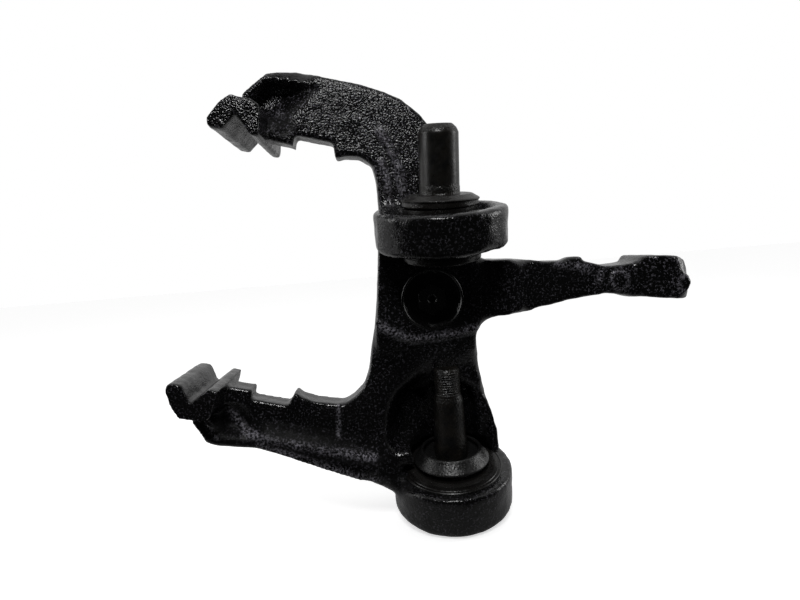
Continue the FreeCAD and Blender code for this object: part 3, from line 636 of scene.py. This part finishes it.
def ramp(value, start, end):
    """0 before start and 1 after end, along 3t^2 - 2t^3 between them."""
    share = np.clip((value - start) / (end - start), 0, 1)
    return share * share * (3 - 2 * share)


def along_path(places, path, far, near, front):
    """1 within near of a path, falling to 0 at far, and 0 for all points behind the depth front."""
    return ramp(-path_distance(places, path), -far * MM, -near * MM) * (places[:, 1] < front * MM)


print("edges:", len(edges))

# %% [markdown]
# The whole net relaxes first: inside corners, then all edges a little. Faces that a cutter has been
# over hardly move, which are the inner sides of the two arms and the anchors beyond them. Then some
# places that the photograph shows softer get more passes: the root of the lower arm and its end,
# the rim of the hollow, the step along the arm, the hub's right edge, and the steering arm's root.
#
# %% Where the net relaxes
FULL_SHARE = 0.5
FILLET_PASSES = 34
ROUND_PASSES = 4
RIM_PASSES = 70
STEP_PASSES = 70
EDGE_PASSES = 40
HOLLOW_RIM = np.array([(-29.5, -80), (-29.5, -62), (-26, -50), (-18, -40), (-8, -35), (5, -33), (16, -37),
                       (20, -46), (21, -60)]) * MM
SOFT_SPOTS = [  # place, reach, passes
    (np.array((-32.0, -40.0, -98.0)) * MM, 15 * MM, 110),
    (np.array((-21.0, -46.0, -99.0)) * MM, 8 * MM, 60),
    (clocked(-90, -81, -37), 24 * MM, 120)]
LOWER_STEP = np.array([(-100, -65), (-38, -81)]) * MM
SIDE_EDGES = [np.array([(25.5, 20), (26.5, -14)]) * MM, np.array([(49.4, 17), (47.6, -14)]) * MM]
reach, rise = on_bracket(points)
inner_sides = ramp(-reach, 40, 50) * ramp(-np.abs(rise), -80, -73)
milled = np.maximum(inner_sides, ramp(-reach, 103, 106))
points = relax(points, FILLET_PASSES, FULL_SHARE - 0.44 * milled, True)
points = relax(points, ROUND_PASSES, FULL_SHARE - 0.3 * milled)
for spot, size, passes in SOFT_SPOTS:
    points = relax(points, passes, FULL_SHARE * close_to(points, spot, size) * (1 - milled))
rim = along_path(points, HOLLOW_RIM, 10, 4, -24)
points = relax(points, RIM_PASSES, FULL_SHARE * rim)
lower_step = along_path(points, LOWER_STEP, 10, 5, -33)
points = relax(points, STEP_PASSES, FULL_SHARE * lower_step * (1 - milled))
for path in SIDE_EDGES:
    points = relax(points, EDGE_PASSES, FULL_SHARE * along_path(points, path, 7, 3, -12))
print("relaxed; milled points:", int((milled > 0.5).sum()))

# %% [markdown]
# The pocket on the upper arm is a soft dent in the forging. It is deepest under the arm's top
# edge, beside the anchor, and runs out to nothing towards the lower right. Above that edge a
# smooth slope leads to the back of the arm. Both could be sculpted by hand, but a push that is
# worked out for all points at once can be read, and changed by one number.
#
# %% Pocket and slope of the upper arm
POCKET_DEEPEST = 10.5
POCKET_PASSES = 6
SLOPE_FOOT = 97.6


def pocket_depth(reach, rise):
    """How deep the pocket is: its full depth times a short ramp below the top edge and a long ramp
    away from its lower right side. It ends shortly before the anchor."""
    top = 97.2 + 0.06 * (reach + 100)
    from_top = ramp(top - rise, 0.0, 2.8)
    from_left = ramp(0.87 * (reach + 107) - 0.50 * (rise - 94.5), 0.0, 2.8)
    from_side = ramp(-0.80 * (reach + 78) + 0.60 * (rise - 92), 0.0, 17.0)
    from_foot = ramp(rise + 0.15 * (reach + 100), 70, 83)
    return POCKET_DEEPEST * from_top * from_left * from_side * from_foot


outward = normals_of(points)
reach, rise = on_bracket(points)
level_front = (points[:, 1] < -36 * MM) & (points[:, 1] > -44 * MM) & (outward[:, 1] < -0.3)
upper_arm = (reach < -60) & (rise > 60)
points[:, 1] += np.where(level_front & upper_arm, pocket_depth(reach, rise), 0.0) * MM
slope = ramp(rise, 97.4, 98.4) * ramp(-reach, 80, 86) * (points[:, 1] < -30 * MM)
climb = slope * np.clip(rise - SLOPE_FOOT, 0, 6) * MM
lift = climb * (0.25 + 0.35 * ramp(-reach, 88, 97))
points += np.stack([lift * math.sin(CLOCKING), 0.8 * climb, lift * math.cos(CLOCKING)], axis=1)
pocket = ramp(pocket_depth(reach, rise), 0.5, 4.0) * (points[:, 1] < -20 * MM)
points = relax(points, POCKET_PASSES, 0.4 * pocket)
print("deepest:", round(float(pocket_depth(reach, rise).max()), 1), "mm")

# %% [markdown]
# A die leaves ribs where two of its hollows meet, and a punch leaves round press marks. Each is a
# low ridge along a path across the face: a point's lift falls with its distance from the path,
# seen along y. How near a point lies to a ridge is kept as well, for a painted highlight along it.
#
# %% Ribs
RIB_POWER = 1.5
# how far beside a rib its painted highlight reaches, in half widths
RIDGE_HIGHLIGHT_REACH = 1.2


def round_mark(x, z, size):
    """A closed path round a press mark: x + size cos t, z + size sin t, in mm."""
    turn = np.linspace(0, 2 * np.pi, 17)
    return np.stack([x + size * np.cos(turn), z + size * np.sin(turn)], axis=1)


RIBS = [  # path as (x, z) in mm, half width, height
    # across the hub's face
    ([(-31, -10), (-18.7, -18.5), (-10.3, -20.9), (5.2, -20.1), (24, -17.5)], 2.8, 0.9),
    # along the lower arm, and a short upright one on it
    ([(-114, -52), (-105.9, -63.9), (-96.1, -67.7), (-51, -80.6), (-38, -84)], 2.6, 0.8),
    ([(-98.6, -71.4), (-75, -81.5), (-52, -91.8), (-38, -97)], 2.6, 0.7),
    ([(-54.5, -50), (-56.3, -71)], 1.3, 0.4),
    # down the neck of the upper arm, its top corner, and the lower anchor's edge
    ([(-20.5, 90), (-16, 81), (-12.5, 71), (-11.5, 60), (-11, 52)], 2.8, 1.2),
    ([(-21.5, 75), (-18.6, 66), (-18, 52)], 2.2, 0.9),
    ([(-72.5, 103.5), (-71.5, 103)], 2.2, 0.9),
    ([(-124.9, -56.8), (-120.1, -65.2)], 1.5, 0.3),
    # along the steering arm, with its two press marks
    ([(69, 12.6), (80, 11), (87, 8.4)], 2.2, 0.3),
    ([(93.2, 6.8), (92, 1.5)], 2.0, 0.4),
    (round_mark(103.2, 1.4, 5.0), 1.3, 0.35),
    (round_mark(138.0, -3.6, 5.0), 1.3, 0.35)]
outward = normals_of(points)
# 1 where the face looks inboard, falling to 0 where it looks sideways
facing = np.clip(-outward[:, 1] * 2 - 0.4, 0, 1) * (points[:, 1] < -8 * MM)
ridge = np.zeros(len(points))
for path, width, height in RIBS:
    away = path_distance(points, np.array(path, float) * MM) / (width * MM)
    # nearness to the rib, kept for the painted highlight along it
    ridge = np.maximum(ridge, np.clip(RIDGE_HIGHLIGHT_REACH - away, 0, 1) * facing)
    lift = np.clip(1 - away, 0, 1) ** RIB_POWER * height * MM * facing
    points = points + outward * lift[:, None]
print("ribs:", len(RIBS))

# %% [markdown]
# Lumps of three sizes cover the whole forging, shallower at the hub, where a turned rim is set in.
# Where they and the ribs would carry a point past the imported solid, its box holds the point back,
# so the dressed part is no bigger than the part that is made.
#
# %% Lumps
LUMP = 0.16 * MM
lumps = (value_noise(points, 11 * MM, 3) * 1.3 + value_noise(points, 4.6 * MM, 5) +
         value_noise(points, 2.4 * MM, 7) * 0.5)
calm = 0.25 + 0.75 * ramp(wheel_axis.measure(points)[0], 17 * MM, 22 * MM)
points = points + outward * (lumps * LUMP * calm)[:, None]
packed_low, packed_high = np.array(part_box("knuckle_forging"))
points = np.clip(points, packed_low, packed_high)
print("highest lump:", round(float((lumps * LUMP).max()) / MM, 2), "mm")

# %% [markdown]
# Machining comes last and cuts its faces flat again: the top of the lower eye, and the recess of
# the hub. Points that lie near such a face move onto it. They are marked as machined, because
# paint on a cut face is smooth. So is most of the slope, which the die has pressed smooth.
#
# %% Machined faces
machined = 0.8 * slope


def face_off(places, axis, reach, inner, level, depth):
    """Cuts an eye's top flat: points within depth of level, between two radii, drop onto it."""
    radius, turn, along = axis.measure(places)
    hit = (radius < reach) & (radius > inner) & (np.abs(along - level) < depth)
    places[hit] -= (along - level)[hit, None] * axis.up
    machined[hit] = 1.0


def recess(places, axis, size, face, floor):
    """Squares a shallow round recess. A point's depth is 0 at the face and 1 at the floor. Under
    0.15 it stays outside the wall's radius, over 0.8 it drops onto the floor, and between them it
    moves onto the wall. A point well inside the wall's radius drops onto the floor in any case."""
    radius, turn, along = axis.measure(places)
    deep = (along - face) / (floor - face)
    inside = radius < size - 1.4 * MM
    close = (radius < size + 1.1 * MM) & (along < floor + 1.5 * MM) & (deep > -0.3)
    at_floor = np.where(deep > 0.8, np.minimum(radius, size), size)
    at_wall = np.where(deep < 0.15, np.maximum(radius, size), at_floor)
    new_radius = np.where(inside, radius, at_wall)
    new_along = np.where((deep > 0.8) | inside, floor, along)
    places[close] = axis.at(new_radius, turn, new_along)[close]
    machined[close] = 1.0


face_off(points, lower_axis, 29.0 * MM, 23.5 * MM, 0.0, 1.0 * MM)
recess(points, wheel_axis, 15.3 * MM, -46.0 * MM, -43.7 * MM)
print("machined points:", int(machined.sum()))

# %% [markdown]
# Chassis paint over forged scale: black, half glossy, and pebbled by the scale below it. Its relief
# is two bumps, one of broad dents and one of pebbles. The sparkle is painted light: specks that are
# lighter than the paint stand in as painted glints. Bump alone can sparkle too, but its lights run together
# into winding lines. The painted glints are denser on the upper arm and on the steering arm, and they
# come and go in patches.
# Three numbers at each point change the paint: machined calms it, ridge lays a painted grey
# highlight along the ribs, and dull takes the shine from places that the photograph shows flat black.
#
# %% Forging paint
UPPER_ARM = (0.046, 0.058)  # z in metres, over which its rougher zone sets in
STEERING_ARM = (0.045, 0.105)  # x in metres
# These two greys are painted light: the first for the painted glints, the second for the painted highlight
# along the ribs.
GLINT_GREY = (0.235, 0.225, 0.265, 1.0)
RIDGE_HIGHLIGHT_GREY = (0.30, 0.29, 0.325, 1.0)


def forging_finish():
    """Painted glints show as light specks where fine noise passes a threshold, times the zone, the patches
    and the cut; a painted grey highlight runs along the ribs.
    """
    finish = Finish("black_chassis_paint")
    place = finish.put("ShaderNodeSeparateXYZ", Vector=finish.place)
    across, height = place.outputs["X"], place.outputs["Z"]
    ridge, dull = finish.attribute("ridge"), finish.attribute("dull")
    smooth = finish.stretch(finish.attribute("machined"), 0.0, 1.0, 1.0, 0.25)
    patches = finish.stretch(finish.noise(55.0, 3.0, 0.6), 0.36, 0.64, 0.35, 1.0)
    zone = finish.math("MAXIMUM", finish.stretch(height, *UPPER_ARM, 0.38, 0.85),
                       finish.stretch(across, *STEERING_ARM, 0.38, 0.95))
    # more painted glints near the ribs
    zone = finish.math("ADD", zone, finish.math("MULTIPLY", ridge, 1.1))
    amount = finish.math("MULTIPLY", finish.math("MULTIPLY", zone, patches), smooth)
    # painted glints: light specks where fine noise passes a threshold
    glints = finish.stretch(finish.noise(900.0, 2.0, 0.6), 0.55, 0.72)
    # a painted grey highlight along the ribs, in patches
    ridge_highlight = finish.math("MULTIPLY", finish.math("MULTIPLY", ridge, patches),
                       finish.stretch(finish.noise(850.0, 2.0, 0.6), 0.46, 0.64))
    cloud = finish.stretch(finish.noise(40.0, 4.0, 0.6), 0.3, 0.75)
    colour = finish.blend(cloud, grey(0.0025), grey(0.006))
    colour = finish.blend(finish.math("MULTIPLY", glints, amount), colour, GLINT_GREY)
    colour = finish.blend(ridge_highlight, colour, RIDGE_HIGHLIGHT_GREY)
    rough = finish.stretch(finish.noise(300.0, 3.0), 0.3, 0.7, 0.10, 0.20)
    rough = finish.math("ADD", rough, finish.math("MULTIPLY", dull, 0.30))
    shine = finish.stretch(dull, 0.0, 1.0, 0.5, 0.08)
    dents = finish.bump(finish.noise(210.0, 2.0), 0.5 * MM, 0.35)
    pebbles = finish.math("MULTIPLY", finish.stretch(height, *UPPER_ARM, 0.38, 0.9), smooth)
    normal = finish.bump(finish.noise(1100.0, 1.0, 0.5), 0.45 * MM, pebbles, dents)
    return finish.close(Base_Color=colour, Roughness=rough, IOR=1.5, Specular_IOR_Level=shine,
                        Normal=normal)


paint = forging_finish()
print("paint nodes:", len(paint.node_tree.nodes))

# %% [markdown]
# The net gets its last places and its three numbers, and becomes the skin of the forging. It stands
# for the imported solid, which is then hidden. The step along the lower arm is dull, and so are four
# spots: the arm's root, its anchor, the hub's face under the recess, and the top of the pocket.
#
# %% Forging skin
DULL_SPOTS = [  # place, reach
    (np.array((-24.0, -43.0, -100.5)) * MM, 9 * MM),
    (np.array((-112.0, -40.0, -62.0)) * MM, 15 * MM),
    (np.array((4.0, -45.0, -14.4)) * MM, 9 * MM),
    (np.array((-71.5, -39.5, 97.0)) * MM, 10 * MM)]
dull = lower_step
for spot, size in DULL_SPOTS:
    dull = np.maximum(dull, close_to(points, spot, size))
net.vertices.foreach_set("co", points.ravel())
net.update()
for name, values in (("machined", machined), ("ridge", ridge), ("dull", dull)):
    net.attributes.new(name, "FLOAT", "POINT").data.foreach_set("value", values)
skin = dress(net, "forging_skin", paint, "knuckle", 50.0)
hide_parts("knuckle_forging")
print("skin:", sum(len(face.vertices) - 2 for face in net.polygons), "triangles")

# %% [markdown]
# Turned and pressed pieces get a quieter finish, with a fine grain instead of pebbles. One function
# gives most of them: its settings are the level of grey, its warmth, the range of roughness and the
# height of the grain. The studs are oiled and scuffed, and the hidden rings and springs are bare.
#
# %% Turned and pressed finishes


def turned_finish(name, level, warmth, gloss, grain):
    """Grey from 0.6 to 1.4 times the level, and roughness over the range gloss; grain is in mm."""
    finish = Finish(name)
    cloud = finish.stretch(finish.noise(90.0, 4.0, 0.6), 0.3, 0.7)
    colour = finish.blend(cloud, grey(level * 0.6, warmth), grey(level * 1.4, warmth))
    rough = finish.stretch(finish.noise(420.0, 3.0), 0.3, 0.7, *gloss)
    normal = finish.bump(finish.noise(170.0, 2.0), 0.25 * MM, 0.5)
    normal = finish.bump(finish.noise(900.0, 2.0), grain * MM, 1.0, normal)
    return finish.close(Base_Color=colour, Roughness=rough, IOR=1.5, Normal=normal)


def bare_finish(name, level, roughness):
    """Bare metal with a grain: a metallic shader whose roughness varies a little."""
    finish = Finish(name)
    rough = finish.stretch(finish.noise(600.0, 3.0), 0.3, 0.7, roughness - 0.08, roughness + 0.08)
    normal = finish.bump(finish.noise(1100.0, 2.0), 0.05 * MM, 0.8)
    return finish.close(Base_Color=grey(level), Metallic=1.0, Roughness=rough, Normal=normal)


COLLAR_TOP = (0.0575, 0.0565)  # z in metres
CHIPPED_EDGE = (0.0808, 0.0820)


def stud_finish():
    """Oiled steel, warm in patches. It is rough below the collar's top and at the top edge of the
    upper stud, which are found by their height."""
    finish = Finish("oiled_stud")
    height = finish.put("ShaderNodeSeparateXYZ", Vector=finish.place).outputs["Z"]
    collar = finish.stretch(height, *COLLAR_TOP)
    chips = finish.stretch(height, *CHIPPED_EDGE)
    wear = finish.math("MAXIMUM", collar, chips)
    cloud = finish.stretch(finish.noise(140.0, 3.0, 0.6), 0.35, 0.65)
    colour = finish.blend(cloud, (0.0035, 0.0035, 0.0036, 1), (0.011, 0.0095, 0.0075, 1))
    rough = finish.stretch(finish.noise(420.0, 3.0), 0.3, 0.7, 0.26, 0.40)
    normal = finish.bump(finish.noise(120.0, 1.0), 0.3 * MM, 0.5)
    normal = finish.bump(finish.noise(900.0, 2.0), 0.05 * MM, 1.0, normal)
    normal = finish.bump(finish.noise(1000.0, 1.0), 0.4 * MM, wear, normal)
    return finish.close(Base_Color=colour, Roughness=rough, IOR=1.45, Normal=normal)


stud_paint = stud_finish()
plate_paint = turned_finish("pressed_plate", 0.007, 0.12, (0.24, 0.38), 0.22)
cover_paint = turned_finish("pressed_cover", 0.012, 0.0, (0.24, 0.38), 0.3)
housing_paint = turned_finish("coated_housing", 0.006, 0.08, (0.22, 0.36), 0.09)
spindle_paint = turned_finish("painted_spindle", 0.006, 0.0, (0.20, 0.34), 0.05)
worn_paint = turned_finish("worn_centre", 0.012, 0.0, (0.12, 0.24), 0.25)
ring_paint = turned_finish("spring_ring", 0.012, 0.05, (0.22, 0.34), 0.04)
iron = bare_finish("sintered_iron", 0.25, 0.45)
spring = bare_finish("tempered_spring", 0.35, 0.30)
print("finishes:", len(bpy.data.materials))

# %% [markdown]
# The wheel spindle is turned on a lathe from the same forging, so its faces are round and plain,
# with ground seats for two bearings and a thread for the hub nut. A keyway is cut along the
# thread, and a hole for the split pin goes through it. A profile that is turned about the axis
# gives all but the hole, because thread and keyway only change the radius.
#
# %% Wheel spindle
SPINDLE_PITCH = 1.27 * MM
KEYWAY_HALF = 2.5 * MM
KEYWAY_FLOOR = 7.1 * MM


def run(radius, low, high, step):
    """Points of a plain stretch of a profile, closer together than elsewhere."""
    return [(radius, height) for height in np.arange(low, high, step)]


def lathe(name, corners, axis, finish, body, *, step=1.0 * MM, turns=96, shape=None, angle=35.0):
    """A turned piece: rings of the profile's radius about the axis, with a point at each end that
    lies on it. shape(radius, turn, along) may change the radius, as a thread or a keyway does."""
    profile = resample(np.array(corners) * MM, step)
    rings = profile[1:-1]
    turn = np.repeat(np.linspace(0, 2 * np.pi, turns, endpoint=False)[None, :], len(rings), axis=0)
    radius = np.repeat(rings[:, :1], turns, axis=1)
    along = np.repeat(rings[:, 1:], turns, axis=1)
    if shape is not None:
        radius = shape(radius, turn, along)
    body_points = axis.at(radius, turn, along).reshape(-1, 3)
    tips = axis.at(np.zeros(2), np.zeros(2), profile[[0, -1], 1])
    faces = capped_faces(len(rings), turns)
    return new_piece(name, np.vstack([body_points, tips]), faces, finish, body, angle)


def thread(radius, turn, along, low, high, pitch, depth):
    """A V thread: between low and high the radius dips by depth times a triangle wave of
    place / pitch - turn / 2 pi."""
    phase = (along / pitch - turn / (2 * np.pi)) % 1.0
    fade = np.clip((along - low) / MM, 0, 1) * np.clip((high - along) / MM, 0, 1)
    return radius - np.abs(phase * 2 - 1) * fade * depth


def spindle_shape(radius, turn, along):
    """Thread from 88 to 109 mm, then the keyway: no higher than its floor within its half width."""
    radius = thread(radius, turn, along, 88 * MM, 109.4 * MM, SPINDLE_PITCH, 0.7 * MM)
    rise, across = np.sin(turn), np.abs(radius * np.cos(turn))
    inside = (rise > 0.5) & (across < KEYWAY_HALF) & (along > 87.6 * MM)
    return np.where(inside, np.minimum(radius, KEYWAY_FLOOR / np.maximum(rise, 0.5)), radius)


SPINDLE = [  # radius and place along the axis: seal seat, inner and outer bearing seat, thread, end
    (0.0, -15.5), (25.6, -15.5), (25.5, -11.5), (24.0, -10.0), (23.8, -10.0), (23.8, -0.8), (23.0, 0.0),
    (17.49, 0.0), (17.49, 21.2), (16.6, 22.0), (10.6, 65.0), (10.6, 66.0),
    (9.525, 66.0), (9.525, 84.0), (8.6, 84.0), (8.6, 86.0),
    *run(9.5, 86.9, 108.4, 0.2), (9.5, 108.4), (7.9, 110.0), (0.0, 110.0)]
spindle = lathe("wheel_spindle", SPINDLE, wheel_axis, spindle_paint, "knuckle",
                turns=216, shape=spindle_shape)
pin_axis = Axis((0.0, 102 * MM, 0.0), (1.0, 0.0, 0.0))
drilled = carve(spindle.data, [("DIFFERENCE", drum_tool(pin_axis, 2.0 * MM, -12 * MM, 12 * MM))])
drilled.name = "wheel_spindle"
spindle.data = drilled
print("spindle:", len(spindle.data.polygons), "faces")

# %% [markdown]
# In the middle of the hub's inboard face is a round recess with a rim, and in it stands a low
# six-sided boss with a small centre hole. The boss is turned like the spindle, and its radius
# shrinks to six flats. The rim is a closed outline carried once round the axis.
#
# %% Hub centre
HEXAGON_CORNER = math.radians(270)
HEXAGON_FROM = 3 * MM


def hoop(name, outline, axis, finish, body, *, step=0.5 * MM, turns=120, angle=35.0):
    """A closed outline of (radius, height), carried once round the axis."""
    loop = resample(np.array(outline + outline[:1]) * MM, step)[:-1]
    turn = np.repeat(np.linspace(0, 2 * np.pi, turns, endpoint=False)[None, :], len(loop), axis=0)
    places = axis.at(np.repeat(loop[:, :1], turns, axis=1), turn, np.repeat(loop[:, 1:], turns, axis=1))
    faces = ring_faces(len(loop), turns, closed=True)
    return new_piece(name, places.reshape(-1, 3), faces, finish, body, angle)


def hexagon(radius, turn, along):
    """Six flats outside the centre hole: radius * cos 30 / cos(turn within a sixth - 30 degrees)."""
    sixth = np.radians(60)
    shrink = math.cos(sixth / 2) / np.cos((turn - HEXAGON_CORNER) % sixth - sixth / 2)
    return np.where(radius > HEXAGON_FROM, radius * shrink, radius)


HUB_CENTRE = [(0, -41.0), (8.6, -41.0), (8.6, -44.5), (7.8, -45.3), (2.6, -45.3), (1.9, -44.7),
              (1.9, -42.6), (0, -41.5)]
HUB_RIM = [(15.1, -43.2), (15.1, -45.6), (15.6, -46.1), (16.2, -46.15), (16.6, -45.8), (16.6, -43.2)]
hub_centre = lathe("hub_centre", HUB_CENTRE, wheel_axis, worn_paint, "knuckle",
                   shape=hexagon, step=0.5 * MM, angle=25.0)
hub_rim = hoop("hub_rim", HUB_RIM, wheel_axis, spindle_paint, "knuckle")
print("hub:", len(hub_centre.data.polygons), "and", len(hub_rim.data.polygons), "faces")

# %% [markdown]
# The ball joints. Each stud is one turned piece from its ball to its top, so the lathe makes it
# from one profile, and it rides on its own body, whose joint turns it about the same axis.
#
# %% Studs
joints = {joint["name"]: joint for joint in frame["joints"]}
upper_stud_axis = Axis(joints["upper_ball_joint"]["pos_m"], joints["upper_ball_joint"]["axis"])
lower_stud_axis = Axis(joints["lower_ball_joint"]["pos_m"], joints["lower_ball_joint"]["axis"])


def ball_profile(radius, neck):
    """The ball's outline from its lowest point up to where the neck meets it."""
    lean = np.linspace(math.pi, math.asin(neck / radius), 30)
    return [(radius * math.sin(a), radius * math.cos(a)) for a in lean]


def lower_thread(radius, turn, along):
    """The V thread of the lower stud's end, 0.8 mm deep."""
    return thread(radius, turn, along, 51.0 * MM, 65.6 * MM, 1.41 * MM, 0.8 * MM)


UPPER_STUD = [*ball_profile(11.5, 7.5), (7.5, 8.8), (10.2, 11.2), (10.2, 16.2), (10.0, 16.6), (10.0, 19.6),
              (9.85, 19.9), (9.85, 45.0), (9.7, 45.5), (8.9, 47.2), (8.7, 47.5), (7.0, 49.1), (6.6, 49.3),
              (0.0, 49.3)]
LOWER_STUD = [*ball_profile(12.5, 7.5), (7.5, 9.0), (9.3, 10.6), (9.3, 18.6), (8.2, 47.0), (7.145, 50.5),
              *run(7.145, 50.6, 64.8, 0.2), (7.145, 64.8), (5.945, 66.0), (0.0, 66.0)]
upper_stud = lathe("upper_stud", UPPER_STUD, upper_stud_axis, stud_paint, "upper_stud")
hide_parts("upper_ball_stud")
lower_stud = lathe("lower_stud", LOWER_STUD, lower_stud_axis, stud_paint, "lower_stud",
                   shape=lower_thread)
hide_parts("lower_ball_stud")
print("studs:", len(upper_stud.data.polygons), "and", len(lower_stud.data.polygons), "faces")

# %% [markdown]
# The plate on the upper stud and the cover round the lower one are pressed from sheet, so they have
# rolled rims. A closed outline carried round the stud's axis gives both skins and the rim at once.
#
# %% Plate and cover
UPPER_PLATE = [
    (10.3, 16.15), (15.6, 16.15), (16.3, 15.95), (16.8, 15.6), (19.3, 14.15), (19.6, 13.75), (19.5, 13.35),
    (19.05, 13.1), (19.0, 12.6), (19.0, 10.75), (18.8, 10.45), (18.5, 10.6), (18.4, 11.4), (17.8, 11.7),
    (10.3, 11.7)]
LOWER_COVER = [
    (9.4, 10.8), (20.2, 10.6), (20.9, 10.65), (21.3, 11.1), (21.25, 11.8), (20.6, 12.6), (17.7, 16.4),
    (17.2, 17.3), (16.6, 17.75), (15.9, 17.7), (15.5, 17.2), (17.9, 13.4), (17.5, 12.9), (9.4, 12.9)]
plate = hoop("upper_plate", UPPER_PLATE, upper_stud_axis, plate_paint, "upper_stud")
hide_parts("upper_dust_plate")
cover = hoop("lower_cover", LOWER_COVER, lower_stud_axis, cover_paint, "lower_stud")
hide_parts("lower_dust_cover")
print("plate and cover:", len(plate.data.polygons), "and", len(cover.data.polygons), "faces")

# %% [markdown]
# The housings are turned cups, pressed into the eyes. The upper one ends in a plain lip, and the
# lower one has a groove in its flange. They too are outlines carried round, about the eyes' axes.
#
# %% Housings
UPPER_HOUSING = [
    (16.5, -3.15), (16.5, -25.9), (14.9, -26.4), (18.5, -26.4), (19.5, -25.7), (19.7, -25.0), (19.7, -23.4),
    (19.3, -23.1), (19.3, -22.6), (19.7, -22.3), (19.7, -20.2), (22.95, -19.2), (22.95, -5.2), (26.0, -5.2),
    (26.0, -4.0), (25.5, -3.6), (18.7, -3.6), (18.5, -3.4), (18.5, 0.6), (14.0, 0.6), (11.8, -3.15)]
LOWER_HOUSING = [
    (16.5, -1.65), (16.5, -24.3), (14.9, -24.8), (21.95, -24.8), (22.95, -23.8), (22.95, 0.02), (28.4, 0.02),
    (28.4, 0.5), (28.1, 0.8), (27.4, 0.8), (27.1, 0.45), (26.4, 0.45), (26.1, 0.8), (25.2, 0.8), (21.1, 0.8),
    (21.1, 1.2), (19.7, 1.2), (16.4, 0.8), (13.4, -1.65)]
upper_housing = hoop("upper_housing", UPPER_HOUSING, upper_axis, housing_paint, "knuckle")
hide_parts("upper_joint_housing")
lower_housing = hoop("lower_housing", LOWER_HOUSING, lower_axis, housing_paint, "knuckle")
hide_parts("lower_joint_housing")
print("housings:", len(upper_housing.data.polygons), "and", len(lower_housing.data.polygons), "faces")

# %% [markdown]
# The end caps, springs, bearing rings and the snap ring are plain turned shapes, which the packed
# model has already. Their meshes are left alone and only get a finish: the one that INSIDE gives
# for the last word of the node's name that it knows.
#
# %% Carried-over pieces
INSIDE = {"housing": housing_paint, "cap": housing_paint, "spring": spring, "seat": iron, "ring": ring_paint}
for name, node in frame["nodes"].items():
    if not node.hide_render:
        finish = [INSIDE[word] for word in name.split("_")[::-1] if word in INSIDE][0]
        node.data.materials.clear()
        node.data.materials.append(finish)
print("carried over:", [name for name, node in frame["nodes"].items() if not node.hide_render])
